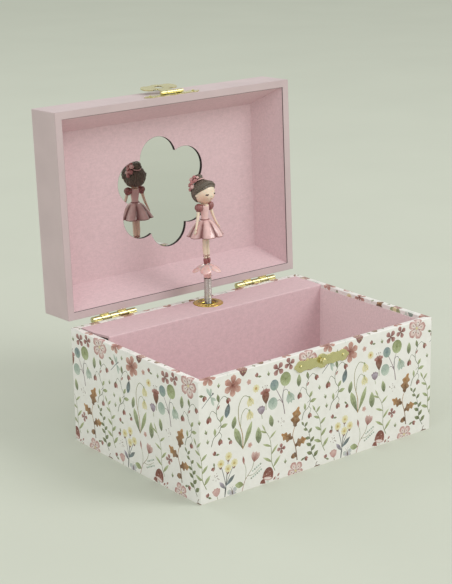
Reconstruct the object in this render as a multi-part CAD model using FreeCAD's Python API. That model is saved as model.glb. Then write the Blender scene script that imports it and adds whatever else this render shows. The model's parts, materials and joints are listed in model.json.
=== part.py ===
import FreeCAD, Part
import math
import os
from FreeCAD import Vector

# Ballerina jewellery box, in millimetres. +Z is up, +X runs to the right along the front, +Y runs to the back.
# The origin is the centre of the base's underside. The lid stands open, which is its pose at rest.

# ---- driving dimensions -------------------------------------------------------------------------------
WIDTH = 156.0                # base, left to right
DEPTH = 111.0                # base, front to back
BASE_H = 63.5                # base, floor to rim
LID_H = 23.0                 # lid, rim to top
LID_OPEN = 92.0              # degrees that the lid stands open
BOARD = 3.0                  # boards of the base
LID_BOARD = 3.5              # boards of the lid's walls
PAPER = 0.25                 # covering paper
SOLE = 0.3                   # paper glued under the base
CARD = 0.8                   # lining card with its pink paper
LID_GAP = 0.3                # between the two rims when the lid is shut
LID_INSET = 0.3              # the lid stands this much inside the base's outline
TURN_IN = 8.0                # paper folded over the rim and down inside
EDGE_R = 0.45                # softness of the papered edges

HINGE_OUT = 2.4              # hinge axis behind the back face
HINGE_X = 49.0               # hinge centre from the middle of the box
HINGE_L = 28.0
KNUCKLES = 5
KNUCKLE_R = 1.6
PIN_R = 0.75
FIT = 0.05                   # running clearance on a radius
LEAF = 0.6                   # brass sheet of the hinges

COVER_FRONT = 29.5           # y of the movement cover's front face
COVER_CARD = 1.3
COVER_GAP = 1.2              # gap at the cover's left end
COVER_NOTCH = 2.4            # how far the skewed front corner of that end is cut back
POST_X = 4.0
POST_Y = 43.5
POST_R = 2.1
EYELET_R = 8.3
EYELET_BORE = 4.6
SPRING_TOP = 78.0
LEAN = 2.5                   # degrees that the dancer leans back
FACING = 8.5                 # degrees that the dancer is turned at rest

LINER_DEPTH = 17.6           # lid lining, rim to mirror panel
LINER_SLOPE = 9.9            # how far the sloping lining walls come in
PETAL_R = 12.2               # one lobe of the mirror opening
PETAL_C = 19.4               # lobe centre from the opening's centre
PETAL_TURN = -97.0           # degrees of the first lobe
MIRROR_T = 1.0

MODULE = 0.625               # face gear on the barrel and its two pinions
BARREL_TEETH = 48
PINION_TEETH = 10
FINE_MODULE = 0.4            # governor gear pair
CYL_GEAR_TEETH = 40
FAN_PINION_TEETH = 8
BARREL_Z = 26.0
NOTES = 18

LATCH_Z = 68.8               # latch hinge height with the lid shut
LATCH_OUT = 1.6              # latch hinge axis in front of the lid's front face
FLAP_BACK = 171.0            # degrees that the flap is thrown back from hanging
STUD_Z = 56.8

# ---- derived places -----------------------------------------------------------------------------------
HALF_W = WIDTH / 2
HALF_D = DEPTH / 2
WALL_IN = PAPER + BOARD                       # outer face to the inner face of a base board
INNER_X = HALF_W - WALL_IN
INNER_Y = HALF_D - WALL_IN
FLOOR_Z = SOLE + BOARD
HINGE_Y = HALF_D + HINGE_OUT
HINGE_Z = BASE_H + LID_GAP
LID_X = HALF_W - LID_INSET
LID_FRONT = -(HALF_D - LID_INSET)
LID_Z = BASE_H + LID_GAP
LID_RIM = LID_BOARD + 2 * PAPER
BARREL_R = MODULE * BARREL_TEETH / 2
PINION_R = MODULE * PINION_TEETH / 2
FACE_Y = POST_Y + PINION_R                    # pitch plane of the barrel's face teeth
BED_Y = INNER_Y - 1.2                         # front face of the movement's bedplate
FINE_DIST = FINE_MODULE * (CYL_GEAR_TEETH + FAN_PINION_TEETH) / 2
FAN_Z = BARREL_Z + FINE_DIST

X_AXIS = Vector(1, 0, 0)
Y_AXIS = Vector(0, 1, 0)
Z_AXIS = Vector(0, 0, 1)


# ---- helpers ------------------------------------------------------------------------------------------
def block(x0, x1, y0, y1, z0, z1):
    return Part.makeBox(x1 - x0, y1 - y0, z1 - z0, Vector(x0, y0, z0))


def rod(radius, start, axis, length):
    return Part.makeCylinder(radius, length, Vector(*start), axis)


def ring(outer, inner, start, axis, length):
    return rod(outer, start, axis, length).cut(rod(inner, start, axis, length))


def join(shapes):
    whole = shapes[0].multiFuse(shapes[1:]) if len(shapes) > 1 else shapes[0]
    return whole.removeSplitter()


def prism(points, direction):
    wire = Part.makePolygon([Vector(*p) for p in points] + [Vector(*points[0])])
    return Part.Face(wire).extrude(direction)


def turned(profile, centre=(0, 0)):
    """A solid of revolution about a vertical axis, from (radius, height) points."""
    cx, cy = centre
    wire = Part.makePolygon([Vector(cx + r, cy, z) for r, z in profile + [profile[0]]])
    return Part.Face(wire).revolve(Vector(cx, cy, 0), Z_AXIS, 360)


def ball(radius, centre):
    return Part.makeSphere(radius, Vector(*centre))


def upright_edges(shape):
    """The edges of a box that run straight up."""
    found = []
    for edge in shape.Edges:
        a, b = edge.Vertexes[0].Point, edge.Vertexes[-1].Point
        if abs(a.x - b.x) < 1e-6 and abs(a.y - b.y) < 1e-6:
            found.append(edge)
    return found


def export(name, *shapes):
    shape = shapes[0] if len(shapes) == 1 else Part.makeCompound(list(shapes))
    shape.exportStep("parts/" + name + ".step")


def opened(shape):
    """Turn a lid piece from the shut pose, in which it is drawn, to the open pose at rest."""
    out = shape.copy()
    out.rotate(Vector(0, HINGE_Y, HINGE_Z), X_AXIS, -LID_OPEN)
    return out


# ---- holes for the box's own nails and screws ---------------------------------------------------------
def drilled(places, radius, y0, y1):
    """Round holes along Y, from y0 to y1, at each (x, z)."""
    return Part.makeCompound([rod(radius, (x, y0, z), Y_AXIS, y1 - y0) for x, z in places])


def plate_nails(z):
    return [(-14.2, z), (14.2, z)]


def hinge_nails(side):
    places = []
    for centre in (-HINGE_X, HINGE_X):
        places += leaf_nails(centre, side)
    return places


# ---- base ---------------------------------------------------------------------------------------------
def key_hole(radius):
    return rod(radius, (POST_X, HALF_D - 8, BARREL_Z), Y_AXIS, 12)


def front_holes():
    holes = [drilled(plate_nails(STUD_Z), 0.36, -HALF_D - 1, -HALF_D + 1.8)]
    holes.append(drilled([(0, STUD_Z)], 0.86, -HALF_D - 1, -HALF_D + WALL_IN))
    return Part.makeCompound(holes)


def back_holes(side):
    return drilled(hinge_nails(side), 0.36, HALF_D - 1.7, HALF_D + 1)


def base_boards():
    out_x, out_y = HALF_W - PAPER, HALF_D - PAPER
    z0, z1 = SOLE, BASE_H - PAPER
    export("base_sole_paper", block(-HALF_W, HALF_W, -HALF_D, HALF_D, 0, SOLE))
    export("base_bottom", block(-INNER_X, INNER_X, -INNER_Y, INNER_Y, z0, FLOOR_Z))
    front = block(-out_x, out_x, -out_y, -INNER_Y, z0, z1)
    export("base_front_wall", front.cut(front_holes()))
    back = block(-out_x, out_x, INNER_Y, out_y, z0, z1)
    back = back.cut(key_hole(3.5)).cut(back_holes(-1))
    export("base_back_wall", back.cut(drilled(bed_screw_places(), 1.22, BED_Y, BED_Y + 3.7)))
    export("base_left_wall", block(-out_x, -INNER_X, -INNER_Y, INNER_Y, z0, z1))
    export("base_right_wall", block(INNER_X, out_x, -INNER_Y, INNER_Y, z0, z1))


def base_paper():
    outer = block(-HALF_W, HALF_W, -HALF_D, HALF_D, SOLE, BASE_H)
    outer = outer.makeFillet(EDGE_R, upright_edges(outer))
    out_x, out_y = HALF_W - PAPER, HALF_D - PAPER
    in_x, in_y = INNER_X - PAPER, INNER_Y - PAPER
    walls = block(-out_x, out_x, -out_y, out_y, SOLE, BASE_H - PAPER)
    core = block(-INNER_X, INNER_X, -INNER_Y, INNER_Y, BASE_H - TURN_IN, BASE_H - PAPER)
    mouth = block(-in_x, in_x, -in_y, in_y, SOLE, BASE_H)
    skin = outer.cut(walls.cut(core)).cut(mouth)
    skin = skin.cut(block(-out_x, out_x, -out_y, out_y, SOLE, BASE_H - TURN_IN)).cut(key_hole(3.0))
    return skin.cut(front_holes()).cut(back_holes(-1))


def wall_linings():
    x, y = INNER_X - PAPER, INNER_Y - PAPER
    z0, z1 = FLOOR_Z + CARD, BASE_H - 2.0
    front = block(-x, x, -y, -y + CARD, z0, z1)
    left = block(-x, -x + CARD, -y + CARD, COVER_FRONT, z0, z1)
    right = block(x - CARD, x, -y + CARD, COVER_FRONT, z0, z1)
    return [front, left, right]


def movement_cover():
    """Card platform over the movement: a top, and a front face down to the tray's floor."""
    x0 = -(INNER_X - PAPER) + COVER_GAP
    x1 = INNER_X - PAPER
    top_z = BASE_H - 0.1
    y1 = INNER_Y - PAPER
    top = block(x0, x1, COVER_FRONT, y1, top_z - COVER_CARD, top_z)
    face = block(x0, x1, COVER_FRONT, COVER_FRONT + COVER_CARD, FLOOR_Z + CARD, top_z)
    cover = join([top, face])
    rounded = [e for e in cover.Edges
               if abs(e.CenterOfMass.z - top_z) < 1e-3 and abs(e.CenterOfMass.y - COVER_FRONT) < 1e-3]
    cover = cover.makeFillet(0.7, rounded)
    corner = [Vector(x0 - 1, COVER_FRONT - 1, top_z - 3), Vector(x0 + COVER_NOTCH, COVER_FRONT - 1, top_z - 3),
              Vector(x0 + COVER_NOTCH, COVER_FRONT + 2, top_z - 3), Vector(x0 - 1, COVER_FRONT + 15, top_z - 3)]
    cover = cover.cut(Part.Face(Part.makePolygon(corner + [corner[0]])).extrude(Vector(0, 0, 4)))
    return cover.cut(rod(EYELET_BORE + 0.6, (POST_X, POST_Y, top_z - 3), Z_AXIS, 5))


def cover_blocks():
    """Two wooden blocks, glued to the back wall and the bottom, that carry the cover's ends."""
    made = []
    for x in (-65.0, 65.0):
        made.append(block(x - 6, x + 6, INNER_Y - 10, INNER_Y - PAPER, FLOOR_Z, BASE_H - 0.1 - COVER_CARD))
    return made


def post_eyelet():
    """Brass eyelet: a rounded flange on the cover, and a tube through it that is rolled out below."""
    z = BASE_H - 0.1
    low = z - COVER_CARD
    tube_r = EYELET_BORE + 0.6
    profile = [(EYELET_BORE, low - 0.5), (tube_r + 1.2, low - 0.5), (tube_r + 1.2, low), (tube_r, low),
               (tube_r, z), (EYELET_R, z), (EYELET_R, z + 0.25), (EYELET_R - 0.5, z + 0.55),
               (EYELET_R - 1.4, z + 0.7), (EYELET_BORE + 0.9, z + 0.7), (EYELET_BORE + 0.2, z + 0.4),
               (EYELET_BORE, z)]
    return turned(profile, (POST_X, POST_Y))


def nail(start, axis, length=2.2):
    """A small domed nail; start is the point under its head, axis points out of the board."""
    point = Vector(*start)
    head = Part.makeCylinder(0.75, 0.3, point, axis)
    dome = Part.makeSphere(0.95, point + axis * -0.25)
    cap = dome.common(Part.makeCylinder(0.75, 1.0, point + axis * 0.3, axis))
    shank = Part.makeCylinder(0.35, length, point - axis * length, axis)
    return join([head, cap, shank])


# ---- scalloped latch brass ----------------------------------------------------------------------------
def scalloped(half_w, half_h, thick, y_front):
    """A brass plate with a waved outline, upright in the X-Z plane about the origin, facing -Y."""
    lobes = [block(-half_w * 0.86, half_w * 0.86, y_front, y_front + thick, -half_h * 0.72, half_h * 0.72)]
    for x, z, r in ((-half_w * 0.80, 0, half_h * 0.88), (half_w * 0.80, 0, half_h * 0.88),
                    (-half_w * 0.42, 0, half_h * 0.84), (half_w * 0.42, 0, half_h * 0.84),
                    (0, 0, half_h * 1.06)):
        lobes.append(rod(r, (x, y_front, z), Y_AXIS, thick))
    for x in (-half_w * 0.97, half_w * 0.97):
        lobes.append(rod(half_h * 0.30, (x, y_front, 0), Y_AXIS, thick))
    return join(lobes)


def catch_plate():
    plate = scalloped(17.6, 3.5, 0.5, -HALF_D - 0.5)
    plate.translate(Vector(0, 0, STUD_Z))
    return plate.cut(front_holes())


def catch_stud():
    """Turned knob that the flap's hole drops over, with a pin through the plate into the wall."""
    profile = [(0, -3.0), (0.85, -3.0), (0.85, 0.5), (1.5, 0.5), (1.2, 1.1), (1.2, 1.5), (1.75, 2.1),
               (1.75, 2.6), (1.3, 3.1), (0, 3.3)]
    stud = turned(profile)
    stud.rotate(Vector(0, 0, 0), X_AXIS, 90)
    stud.translate(Vector(0, -HALF_D, STUD_Z))
    return stud


def latch_knuckle(x0, x1):
    """A rolled tube of the latch hinge, with the lid shut."""
    y = LID_FRONT - LATCH_OUT
    return ring(1.0, 0.5 + FIT, (x0, y, LATCH_Z), X_AXIS, x1 - x0)


def latch_plate():
    plate = scalloped(17.6, 3.4, 0.5, LID_FRONT - 0.5)
    plate.translate(Vector(0, 0, LATCH_Z))
    y = LID_FRONT - LATCH_OUT
    parts = [plate]
    for x0, x1 in ((-7.0, -3.6), (3.6, 7.0)):
        parts.append(block(x0, x1, y, LID_FRONT, LATCH_Z + 0.55, LATCH_Z + 1.0))
        parts.append(latch_knuckle(x0, x1))
    whole = join(parts).cut(rod(0.5 + FIT, (-8, y, LATCH_Z), X_AXIS, 16))
    return whole.cut(drilled(plate_nails(LATCH_Z), 0.36, LID_FRONT - 1, LID_FRONT + 1))


def latch_flap():
    """The flap, drawn hanging over the shut box's stud, then thrown back by FLAP_BACK about its pin."""
    y = LID_FRONT - LATCH_OUT
    sheet_y = y - 1.0
    centre_z = LATCH_Z - 12.2
    sheet = scalloped(9.0, 4.7, 0.55, sheet_y)
    sheet.translate(Vector(0, 0, centre_z))
    neck = block(-3.4, 3.4, sheet_y, sheet_y + 0.55, centre_z, LATCH_Z)
    flap = join([sheet, neck, rod(1.0, (-3.4, y, LATCH_Z), X_AXIS, 6.8)])
    flap = flap.cut(rod(0.5 + FIT, (-5, y, LATCH_Z), X_AXIS, 10))
    flap = flap.cut(rod(2.4, (0, sheet_y - 1, STUD_Z), Y_AXIS, 1.7))
    flap.rotate(Vector(0, y, LATCH_Z), X_AXIS, -FLAP_BACK)
    return flap


def latch_pin():
    y = LID_FRONT - LATCH_OUT
    pin = rod(0.5, (-7.4, y, LATCH_Z), X_AXIS, 14.8)
    heads = [rod(0.8, (x, y, LATCH_Z), X_AXIS, 0.35) for x in (-7.4, 7.05)]
    return join([pin] + heads)


# ---- hinges -------------------------------------------------------------------------------------------
def hinge_knuckles(centre_x, first):
    """Every other knuckle of one hinge. The base carries the odd ones, the lid the even ones."""
    pitch = HINGE_L / KNUCKLES
    tubes = []
    for i in range(first, KNUCKLES, 2):
        x = centre_x - HINGE_L / 2 + i * pitch
        tubes.append(ring(KNUCKLE_R, PIN_R + FIT, (x + 0.15, HINGE_Y, HINGE_Z), X_AXIS, pitch - 0.3))
    return tubes


def hinge_leaf(centre_x, first, upward):
    """A leaf on the outside of the back wall, joined to its knuckles; drawn with the lid shut."""
    pitch = HINGE_L / KNUCKLES
    side = 1 if upward else -1
    rim = HINGE_Z + side * (KNUCKLE_R + 1.0)
    ends = sorted((rim, HINGE_Z + side * 9.5))
    y_face = HALF_D
    parts = [block(centre_x - HINGE_L / 2, centre_x + HINGE_L / 2, y_face, y_face + LEAF, *ends)]
    for i in range(first, KNUCKLES, 2):
        x0 = centre_x - HINGE_L / 2 + i * pitch + 0.15
        tab = sorted((HINGE_Z, rim + side * 0.4))
        parts.append(block(x0, x0 + pitch - 0.3, y_face, y_face + LEAF, *tab))
        root = sorted((HINGE_Z + side * 0.3, HINGE_Z + side * (0.3 + LEAF)))
        parts.append(block(x0, x0 + pitch - 0.3, y_face, HINGE_Y, *root))
    leaf = join(parts + hinge_knuckles(centre_x, first))
    leaf = leaf.cut(rod(PIN_R + FIT, (centre_x - HINGE_L, HINGE_Y, HINGE_Z), X_AXIS, 2 * HINGE_L))
    return leaf.cut(drilled(leaf_nails(centre_x, side), 0.36, y_face - 1, y_face + 2))


def leaf_nails(centre_x, side):
    return [(centre_x + dx, HINGE_Z + side * 7.0) for dx in (-9.0, 9.0)]


def hinge_pins():
    pins = []
    for x in (-HINGE_X, HINGE_X):
        pins.append(rod(PIN_R, (x - HINGE_L / 2, HINGE_Y, HINGE_Z), X_AXIS, HINGE_L))
    return pins


# ---- lid ----------------------------------------------------------------------------------------------
def lid_front_holes():
    return drilled(plate_nails(LATCH_Z), 0.36, LID_FRONT - 1, LID_FRONT + 1.8)


def lid_boards():
    x, y0, y1 = LID_X - PAPER, LID_FRONT + PAPER, HALF_D - PAPER
    z0, z1 = LID_Z + PAPER, LID_Z + LID_H - PAPER
    top_z = z1 - BOARD
    ix = x - LID_BOARD
    export("lid_top_panel", opened(block(-x, x, y0, y1, top_z, z1)))
    front = block(-x, x, y0, y0 + LID_BOARD, z0, top_z)
    export("lid_front_wall", opened(front.cut(lid_front_holes())))
    back = block(-x, x, y1 - LID_BOARD, y1, z0, top_z)
    export("lid_back_wall", opened(back.cut(back_holes(1))))
    export("lid_left_wall", opened(block(-x, -ix, y0 + LID_BOARD, y1 - LID_BOARD, z0, top_z)))
    export("lid_right_wall", opened(block(ix, x, y0 + LID_BOARD, y1 - LID_BOARD, z0, top_z)))


def lid_paper():
    outer = block(-LID_X, LID_X, LID_FRONT, HALF_D, LID_Z, LID_Z + LID_H)
    soft = [e for e in outer.Edges if e.CenterOfMass.z > LID_Z + 0.1]
    outer = outer.makeFillet(EDGE_R, soft)
    x, y0, y1 = LID_X - PAPER, LID_FRONT + PAPER, HALF_D - PAPER
    boards = block(-x, x, y0, y1, LID_Z + PAPER, LID_Z + LID_H - PAPER)
    ix, iy0, iy1 = x - LID_BOARD, y0 + LID_BOARD, y1 - LID_BOARD
    core = block(-ix, ix, iy0, iy1, LID_Z + PAPER, LID_Z + TURN_IN)
    mouth = block(-ix + PAPER, ix - PAPER, iy0 + PAPER, iy1 - PAPER, LID_Z, LID_Z + LID_H - PAPER)
    skin = outer.cut(boards.cut(core)).cut(mouth)
    skin = skin.cut(block(-x, x, y0, y1, LID_Z + TURN_IN, LID_Z + LID_H - PAPER))
    return skin.cut(lid_front_holes()).cut(back_holes(1))


def liner_box():
    """Inner rim of the lid: half width, front y and back y."""
    return LID_X - LID_RIM, LID_FRONT + LID_RIM, HALF_D - LID_RIM


def lid_liner_sides():
    """Four sloping card walls, mitred where they meet."""
    hx, y0, y1 = liner_box()
    z0, z1 = LID_Z + 0.5, LID_Z + LINER_DEPTH
    s, t = LINER_SLOPE, 1.1
    near = [Vector(-hx, y0, z0), Vector(hx, y0, z0), Vector(hx, y1, z0), Vector(-hx, y1, z0)]
    far = [Vector(-hx + s, y0 + s, z1), Vector(hx - s, y0 + s, z1),
           Vector(hx - s, y1 - s, z1), Vector(-hx + s, y1 - s, z1)]
    behind = [Vector(p.x + math.copysign(t, p.x), p.y + (t if i > 1 else -t), p.z) for i, p in enumerate(far)]
    walls = []
    for i in range(4):
        k = (i + 1) % 4
        inner = [near[i], near[k], far[k], far[i]]
        faces = [inner, [near[i], near[k], behind[k], behind[i]], [far[i], far[k], behind[k], behind[i]],
                 [near[i], far[i], behind[i]], [near[k], far[k], behind[k]]]
        shell = Part.makeShell([Part.Face(Part.makePolygon(f + [f[0]])) for f in faces])
        walls.append(Part.makeSolid(shell))
    return walls


def flower_cutter(z0, z1):
    cy = (LID_FRONT + HALF_D) / 2
    shapes = [rod(PETAL_C * 0.95, (0, cy, z0), Z_AXIS, z1 - z0)]
    for k in range(6):
        a = math.radians(PETAL_TURN + 60 * k)
        shapes.append(rod(PETAL_R, (PETAL_C * math.cos(a), cy + PETAL_C * math.sin(a), z0), Z_AXIS, z1 - z0))
    return join(shapes)


def lid_liner_panel():
    hx, y0, y1 = liner_box()
    s = LINER_SLOPE - 3.0
    z = LID_Z + LINER_DEPTH
    panel = block(-hx + s, hx - s, y0 + s, y1 - s, z, z + 1.0)
    return panel.cut(flower_cutter(z - 1, z + 2))


def lid_mirror():
    cy = (LID_FRONT + HALF_D) / 2
    z = LID_Z + LINER_DEPTH + 1.0
    return block(-33, 33, cy - 33, cy + 33, z, z + MIRROR_T)


# ---- dancer -------------------------------------------------------------------------------------------
def leaned(shape):
    """Place a piece drawn about a vertical axis at x = y = 0 on the leaning dancer's axis."""
    out = shape.copy()
    out.rotate(Vector(0, 0, 0), Z_AXIS, FACING)
    out.translate(Vector(POST_X, POST_Y, 0.12))
    out.rotate(Vector(POST_X, POST_Y, SPRING_TOP), X_AXIS, -LEAN)
    return out


def post_spring():
    """Close-wound steel spring, drawn as the tube that its coils make."""
    low = 57.0
    return ring(POST_R, 1.0 + FIT, (POST_X, POST_Y, low), Z_AXIS, SPRING_TOP - low)


def figure_plug():
    return rod(0.8, (0, 0, SPRING_TOP - 3.5), Z_AXIS, 3.5)


def figure_petals():
    """Five drooping petals round a small cup, on top of the spring."""
    cup = turned([(0, SPRING_TOP), (2.6, SPRING_TOP), (3.2, 79.5), (2.9, 83), (2.2, 86), (0, 86)])
    parts = [cup]
    for k in range(5):
        squash = FreeCAD.Matrix()
        squash.scale(3.7, 2.3, 0.85)
        petal = ball(1.0, (0, 0, 0)).transformGeometry(squash)
        petal.rotate(Vector(0, 0, 0), Y_AXIS, 32)
        petal.translate(Vector(4.4, 0, 82.0))
        petal.rotate(Vector(0, 0, 0), Z_AXIS, 81.5 + 72 * k)
        parts.append(petal)
    return join(parts)


def figure_legs_and_shoes():
    legs, shoes = [], []
    for x in (-1.15, 1.15):
        leg = Part.makeCone(0.95, 1.3, 18.0, Vector(x, 0, 90.5))
        shoe = Part.makeCone(1.3, 0.98, 4.5, Vector(x * 1.15, 0, 86))
        legs.append(leg)
        shoes.append(shoe)
    return legs, shoes


def figure_skirt():
    """Flared skirt, hollow underneath."""
    profile = [(2.3, 110.4), (4.6, 109.2), (7.2, 107.0), (9.9, 103.2), (9.6, 102.6), (6.8, 106.2), (4.0, 108.2),
               (0, 108.6), (0, 110.4)]
    return turned(profile)


def figure_bodice():
    torso = turned([(0, 110.4), (2.3, 110.4), (2.1, 112.4), (2.65, 116.4), (2.3, 118.4), (0.95, 119), (0.95, 119.3),
                    (0, 119.3)])
    matrix = FreeCAD.Matrix()
    matrix.scale(1.1, 0.9, 1)
    return torso.transformGeometry(matrix)


def figure_sleeves(torso):
    return [ball(2.25, (x, 0, 117.6)).cut(torso) for x in (-4.2, 4.2)]


def figure_arms(sleeves):
    arms = []
    for side, sleeve in ((-1, sleeves[0]), (1, sleeves[1])):
        start = Vector(side * 4.7, 0, 116.6)
        reach = Vector(side * 10.2, -0.4, 104.4) - start
        arm = Part.makeCone(0.85, 0.7, reach.Length, start, reach)
        arms.append(arm.cut(sleeve))
    return arms


def figure_head_and_hair():
    """A round head, and hair that covers its top and back, with a round bun."""
    head = join([ball(6.2, (0, 0, 125.6)), rod(1.0, (0, 0, 119.35), Z_AXIS, 3)])
    face = block(-9, 9, -12, 0.3, -12, 12)
    face.rotate(Vector(0, 0, 0), X_AXIS, 40)
    face.translate(Vector(0, 0, 125.8))
    cap = ball(6.65, (0, 0.2, 125.8)).cut(face)
    hair = join([cap, ball(2.7, (0, 4.1, 133.3))]).cut(head)
    return head, max(hair.Solids, key=lambda s: s.Volume)


def figure_flowers(head, hair):
    """Three small rose blooms on the left of the bun."""
    blooms = []
    for x, y, z in ((-5.4, 3.4, 129.2), (-4.5, 4.3, 132.2), (-3.6, 1.0, 132.8)):
        bloom = ball(1.75, (x, y, z)).cut(hair).cut(head)
        for other in blooms:
            bloom = bloom.cut(other)
        blooms.append(max(bloom.Solids, key=lambda s: s.Volume))
    return blooms


def dancer():
    legs, shoes = figure_legs_and_shoes()
    torso = figure_bodice()
    sleeves = figure_sleeves(torso)
    skirt = figure_skirt()
    head, hair = figure_head_and_hair()
    legs = [leg.cut(skirt) for leg in legs]
    export("figure_plug", leaned(figure_plug()))
    export("figure_petals", leaned(figure_petals()))
    export("figure_shoes", *[leaned(s) for s in shoes])
    export("figure_legs", *[leaned(s) for s in legs])
    export("figure_skirt", leaned(skirt))
    export("figure_bodice", leaned(torso))
    export("figure_sleeves", *[leaned(s) for s in sleeves])
    export("figure_arms", *[leaned(s.cut(skirt)) for s in figure_arms(sleeves)])
    export("figure_head", leaned(head))
    export("figure_hair", leaned(hair))
    export("figure_hair_flowers", *[leaned(s) for s in figure_flowers(head, hair)])


# ---- gears --------------------------------------------------------------------------------------------
def spur(teeth, module, width, bore):
    """A spur gear about +X, one tooth pointing along +Y, thin teeth that leave backlash."""
    pitch = 2 * math.pi / teeth
    r = module * teeth / 2
    root, tip = r - 1.1 * module, r + 0.75 * module
    points = []
    for k in range(teeth):
        a = k * pitch
        for radius, half in ((root, -0.24), (tip, -0.09), (tip, 0.09), (root, 0.24)):
            points.append((0, radius * math.cos(a + half * pitch), radius * math.sin(a + half * pitch)))
    gear = prism(points, Vector(width, 0, 0))
    return gear.cut(rod(bore, (-1, 0, 0), X_AXIS, width + 2)) if bore else gear


def face_teeth():
    """Ring of teeth standing forward (-Y) on the barrel's flange, with a gap straight up."""
    m = MODULE
    pitch = math.pi * m
    y_tip, y_root = FACE_Y - 0.75 * m, FACE_Y + 1.1 * m
    profile = [(-0.26 * pitch, y_root + 0.2), (-0.10 * pitch, y_tip), (0.10 * pitch, y_tip),
               (0.26 * pitch, y_root + 0.2)]
    teeth = []
    for k in range(BARREL_TEETH):
        tooth = prism([(x, y, BARREL_R - 1.1) for x, y in profile], Vector(0, 0, 2.2))
        tooth.rotate(Vector(0, 0, 0), Y_AXIS, (k + 0.5) * 360.0 / BARREL_TEETH)
        teeth.append(tooth)
    return teeth


# ---- movement -----------------------------------------------------------------------------------------
def at_barrel(shape):
    shape.translate(Vector(POST_X, 0, BARREL_Z))
    return shape


def spring_barrel():
    """Drum of the mainspring, open at the front, with the face teeth on its back flange."""
    flange_y = FACE_Y + 1.1 * MODULE
    drum_y = 35.0
    flange = rod(BARREL_R + 1.3, (0, flange_y, 0), Y_AXIS, 2.4)
    drum = rod(11.0, (0, drum_y, 0), Y_AXIS, flange_y - drum_y)
    hollow = rod(10.2, (0, drum_y, 0), Y_AXIS, flange_y - drum_y - 0.4)
    bore = rod(1.5 + FIT, (0, drum_y - 1, 0), Y_AXIS, 20)
    return at_barrel(join([flange, drum] + face_teeth()).cut(hollow).cut(bore))


def barrel_cap():
    return at_barrel(ring(11.0, 1.5 + FIT, (0, 34.2, 0), Y_AXIS, 0.8))


def mainspring():
    """Flat spiral of half turns about two centres, wound against the drum's wall."""
    turns, step, thick = 12, 0.55, 0.3
    outer, inner = [], []
    for k in range(turns):
        radius = 10.1 - k * step
        side = 1 if k % 2 == 0 else -1
        shift = 0 if side > 0 else -step
        for edges, r in ((outer, radius), (inner, radius - thick)):
            ends = [Vector(shift + side * r, 0, 0), Vector(shift, 0, side * r), Vector(shift - side * r, 0, 0)]
            edges.append(Part.Arc(*ends).toShape())
    first = Part.makeLine(outer[0].Vertexes[0].Point, inner[0].Vertexes[0].Point)
    last = Part.makeLine(outer[-1].Vertexes[-1].Point, inner[-1].Vertexes[-1].Point)
    wire = Part.Wire(Part.__sortEdges__(outer + inner + [first, last]))
    strip = Part.Face(wire).extrude(Vector(0, 8.0, 0))
    strip.translate(Vector(0, 36.5, 0))
    return at_barrel(strip)


def winding_arbor():
    """Steel arbor: from the bridge, through barrel, bedplate and back wall, to the key."""
    start = 32.0
    arbor = rod(1.5, (0, start, 0), Y_AXIS, HALF_D + 5.5 - start)
    hub = rod(2.6, (0, 36.5, 0), Y_AXIS, 8.0).cut(rod(1.5, (0, 36, 0), Y_AXIS, 9))
    return at_barrel(join([arbor, hub]))


def winding_key():
    """Brass butterfly key: a hub on the arbor with two rounded wings pierced by round holes."""
    y0 = HALF_D + 1.6
    hub = rod(2.8, (0, y0, 0), Y_AXIS, 5.5)
    wings = []
    for side in (-1, 1):
        wing = rod(4.6, (side * 6.4, y0 + 3.6, 0), Z_AXIS, 1.4)
        wing.translate(Vector(0, 0, -0.7))
        hole = rod(1.9, (side * 6.9, y0 + 3.6, -2), Z_AXIS, 4)
        wings.append(wing.cut(hole))
    neck = block(-4, 4, y0 + 2.4, y0 + 5.0, -0.7, 0.7)
    key = join([hub, neck] + wings)
    return at_barrel(key.cut(rod(1.5, (0, y0 - 1, 0), Y_AXIS, HALF_D + 5.5 - y0 + 1)))


def bedplate():
    plate = block(-50, 26, BED_Y, INNER_Y, 6, 54)
    holes = [rod(1.5 + 2 * FIT, (POST_X, BED_Y - 1, BARREL_Z), Y_AXIS, 3)]
    holes.append(drilled(bed_screw_places(), 1.25, BED_Y - 1, BED_Y + 2))
    holes.append(block(-43.8, -41.6, BED_Y - 1, BED_Y + 2, BARREL_Z - 5, BARREL_Z + 5))
    return plate.cut(Part.makeCompound(holes))


def bed_screw_places():
    return [(-47, 50), (22.5, 50), (22.5, 9.5)]


def movement_screws():
    """Pan-head screws: three hold the bedplate to the back wall, two clamp the comb."""
    screws = []
    for x, z in bed_screw_places():
        head = rod(2.2, (x, BED_Y - 1.2, z), Y_AXIS, 1.2)
        head = head.cut(block(x - 3, x + 3, BED_Y - 1.3, BED_Y - 0.7, z - 0.3, z + 0.3))
        screws.append(join([head, rod(1.2, (x, BED_Y, z), Y_AXIS, 3.6)]))
    for x in comb_screw_places():
        head = rod(2.2, (x, POST_Y - 1.7, 8.2), Y_AXIS, 1.2)
        head = head.cut(block(x - 3, x + 3, POST_Y - 1.8, POST_Y - 1.2, 7.9, 8.5))
        screws.append(join([head, rod(1.2, (x, POST_Y - 0.5, 8.2), Y_AXIS, 4.0)]))
    return screws


def comb_screw_places():
    return (-34.0, -22.0)


def barrel_bridge():
    """Strap across the front of the barrel, set at 45 degrees so that it clears the pinions."""
    reach = BARREL_R + 3.0
    strap = block(-reach, reach, 32.6, 33.6, -4, 4)
    legs = [block(x, x + 1.2, 33.6, BED_Y, -4, 4) for x in (-reach, reach - 1.2)]
    bridge = join([strap] + legs).cut(rod(1.5 + FIT, (0, 30, 0), Y_AXIS, 6))
    bridge.rotate(Vector(0, 0, 0), Y_AXIS, 45)
    return at_barrel(bridge)


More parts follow.
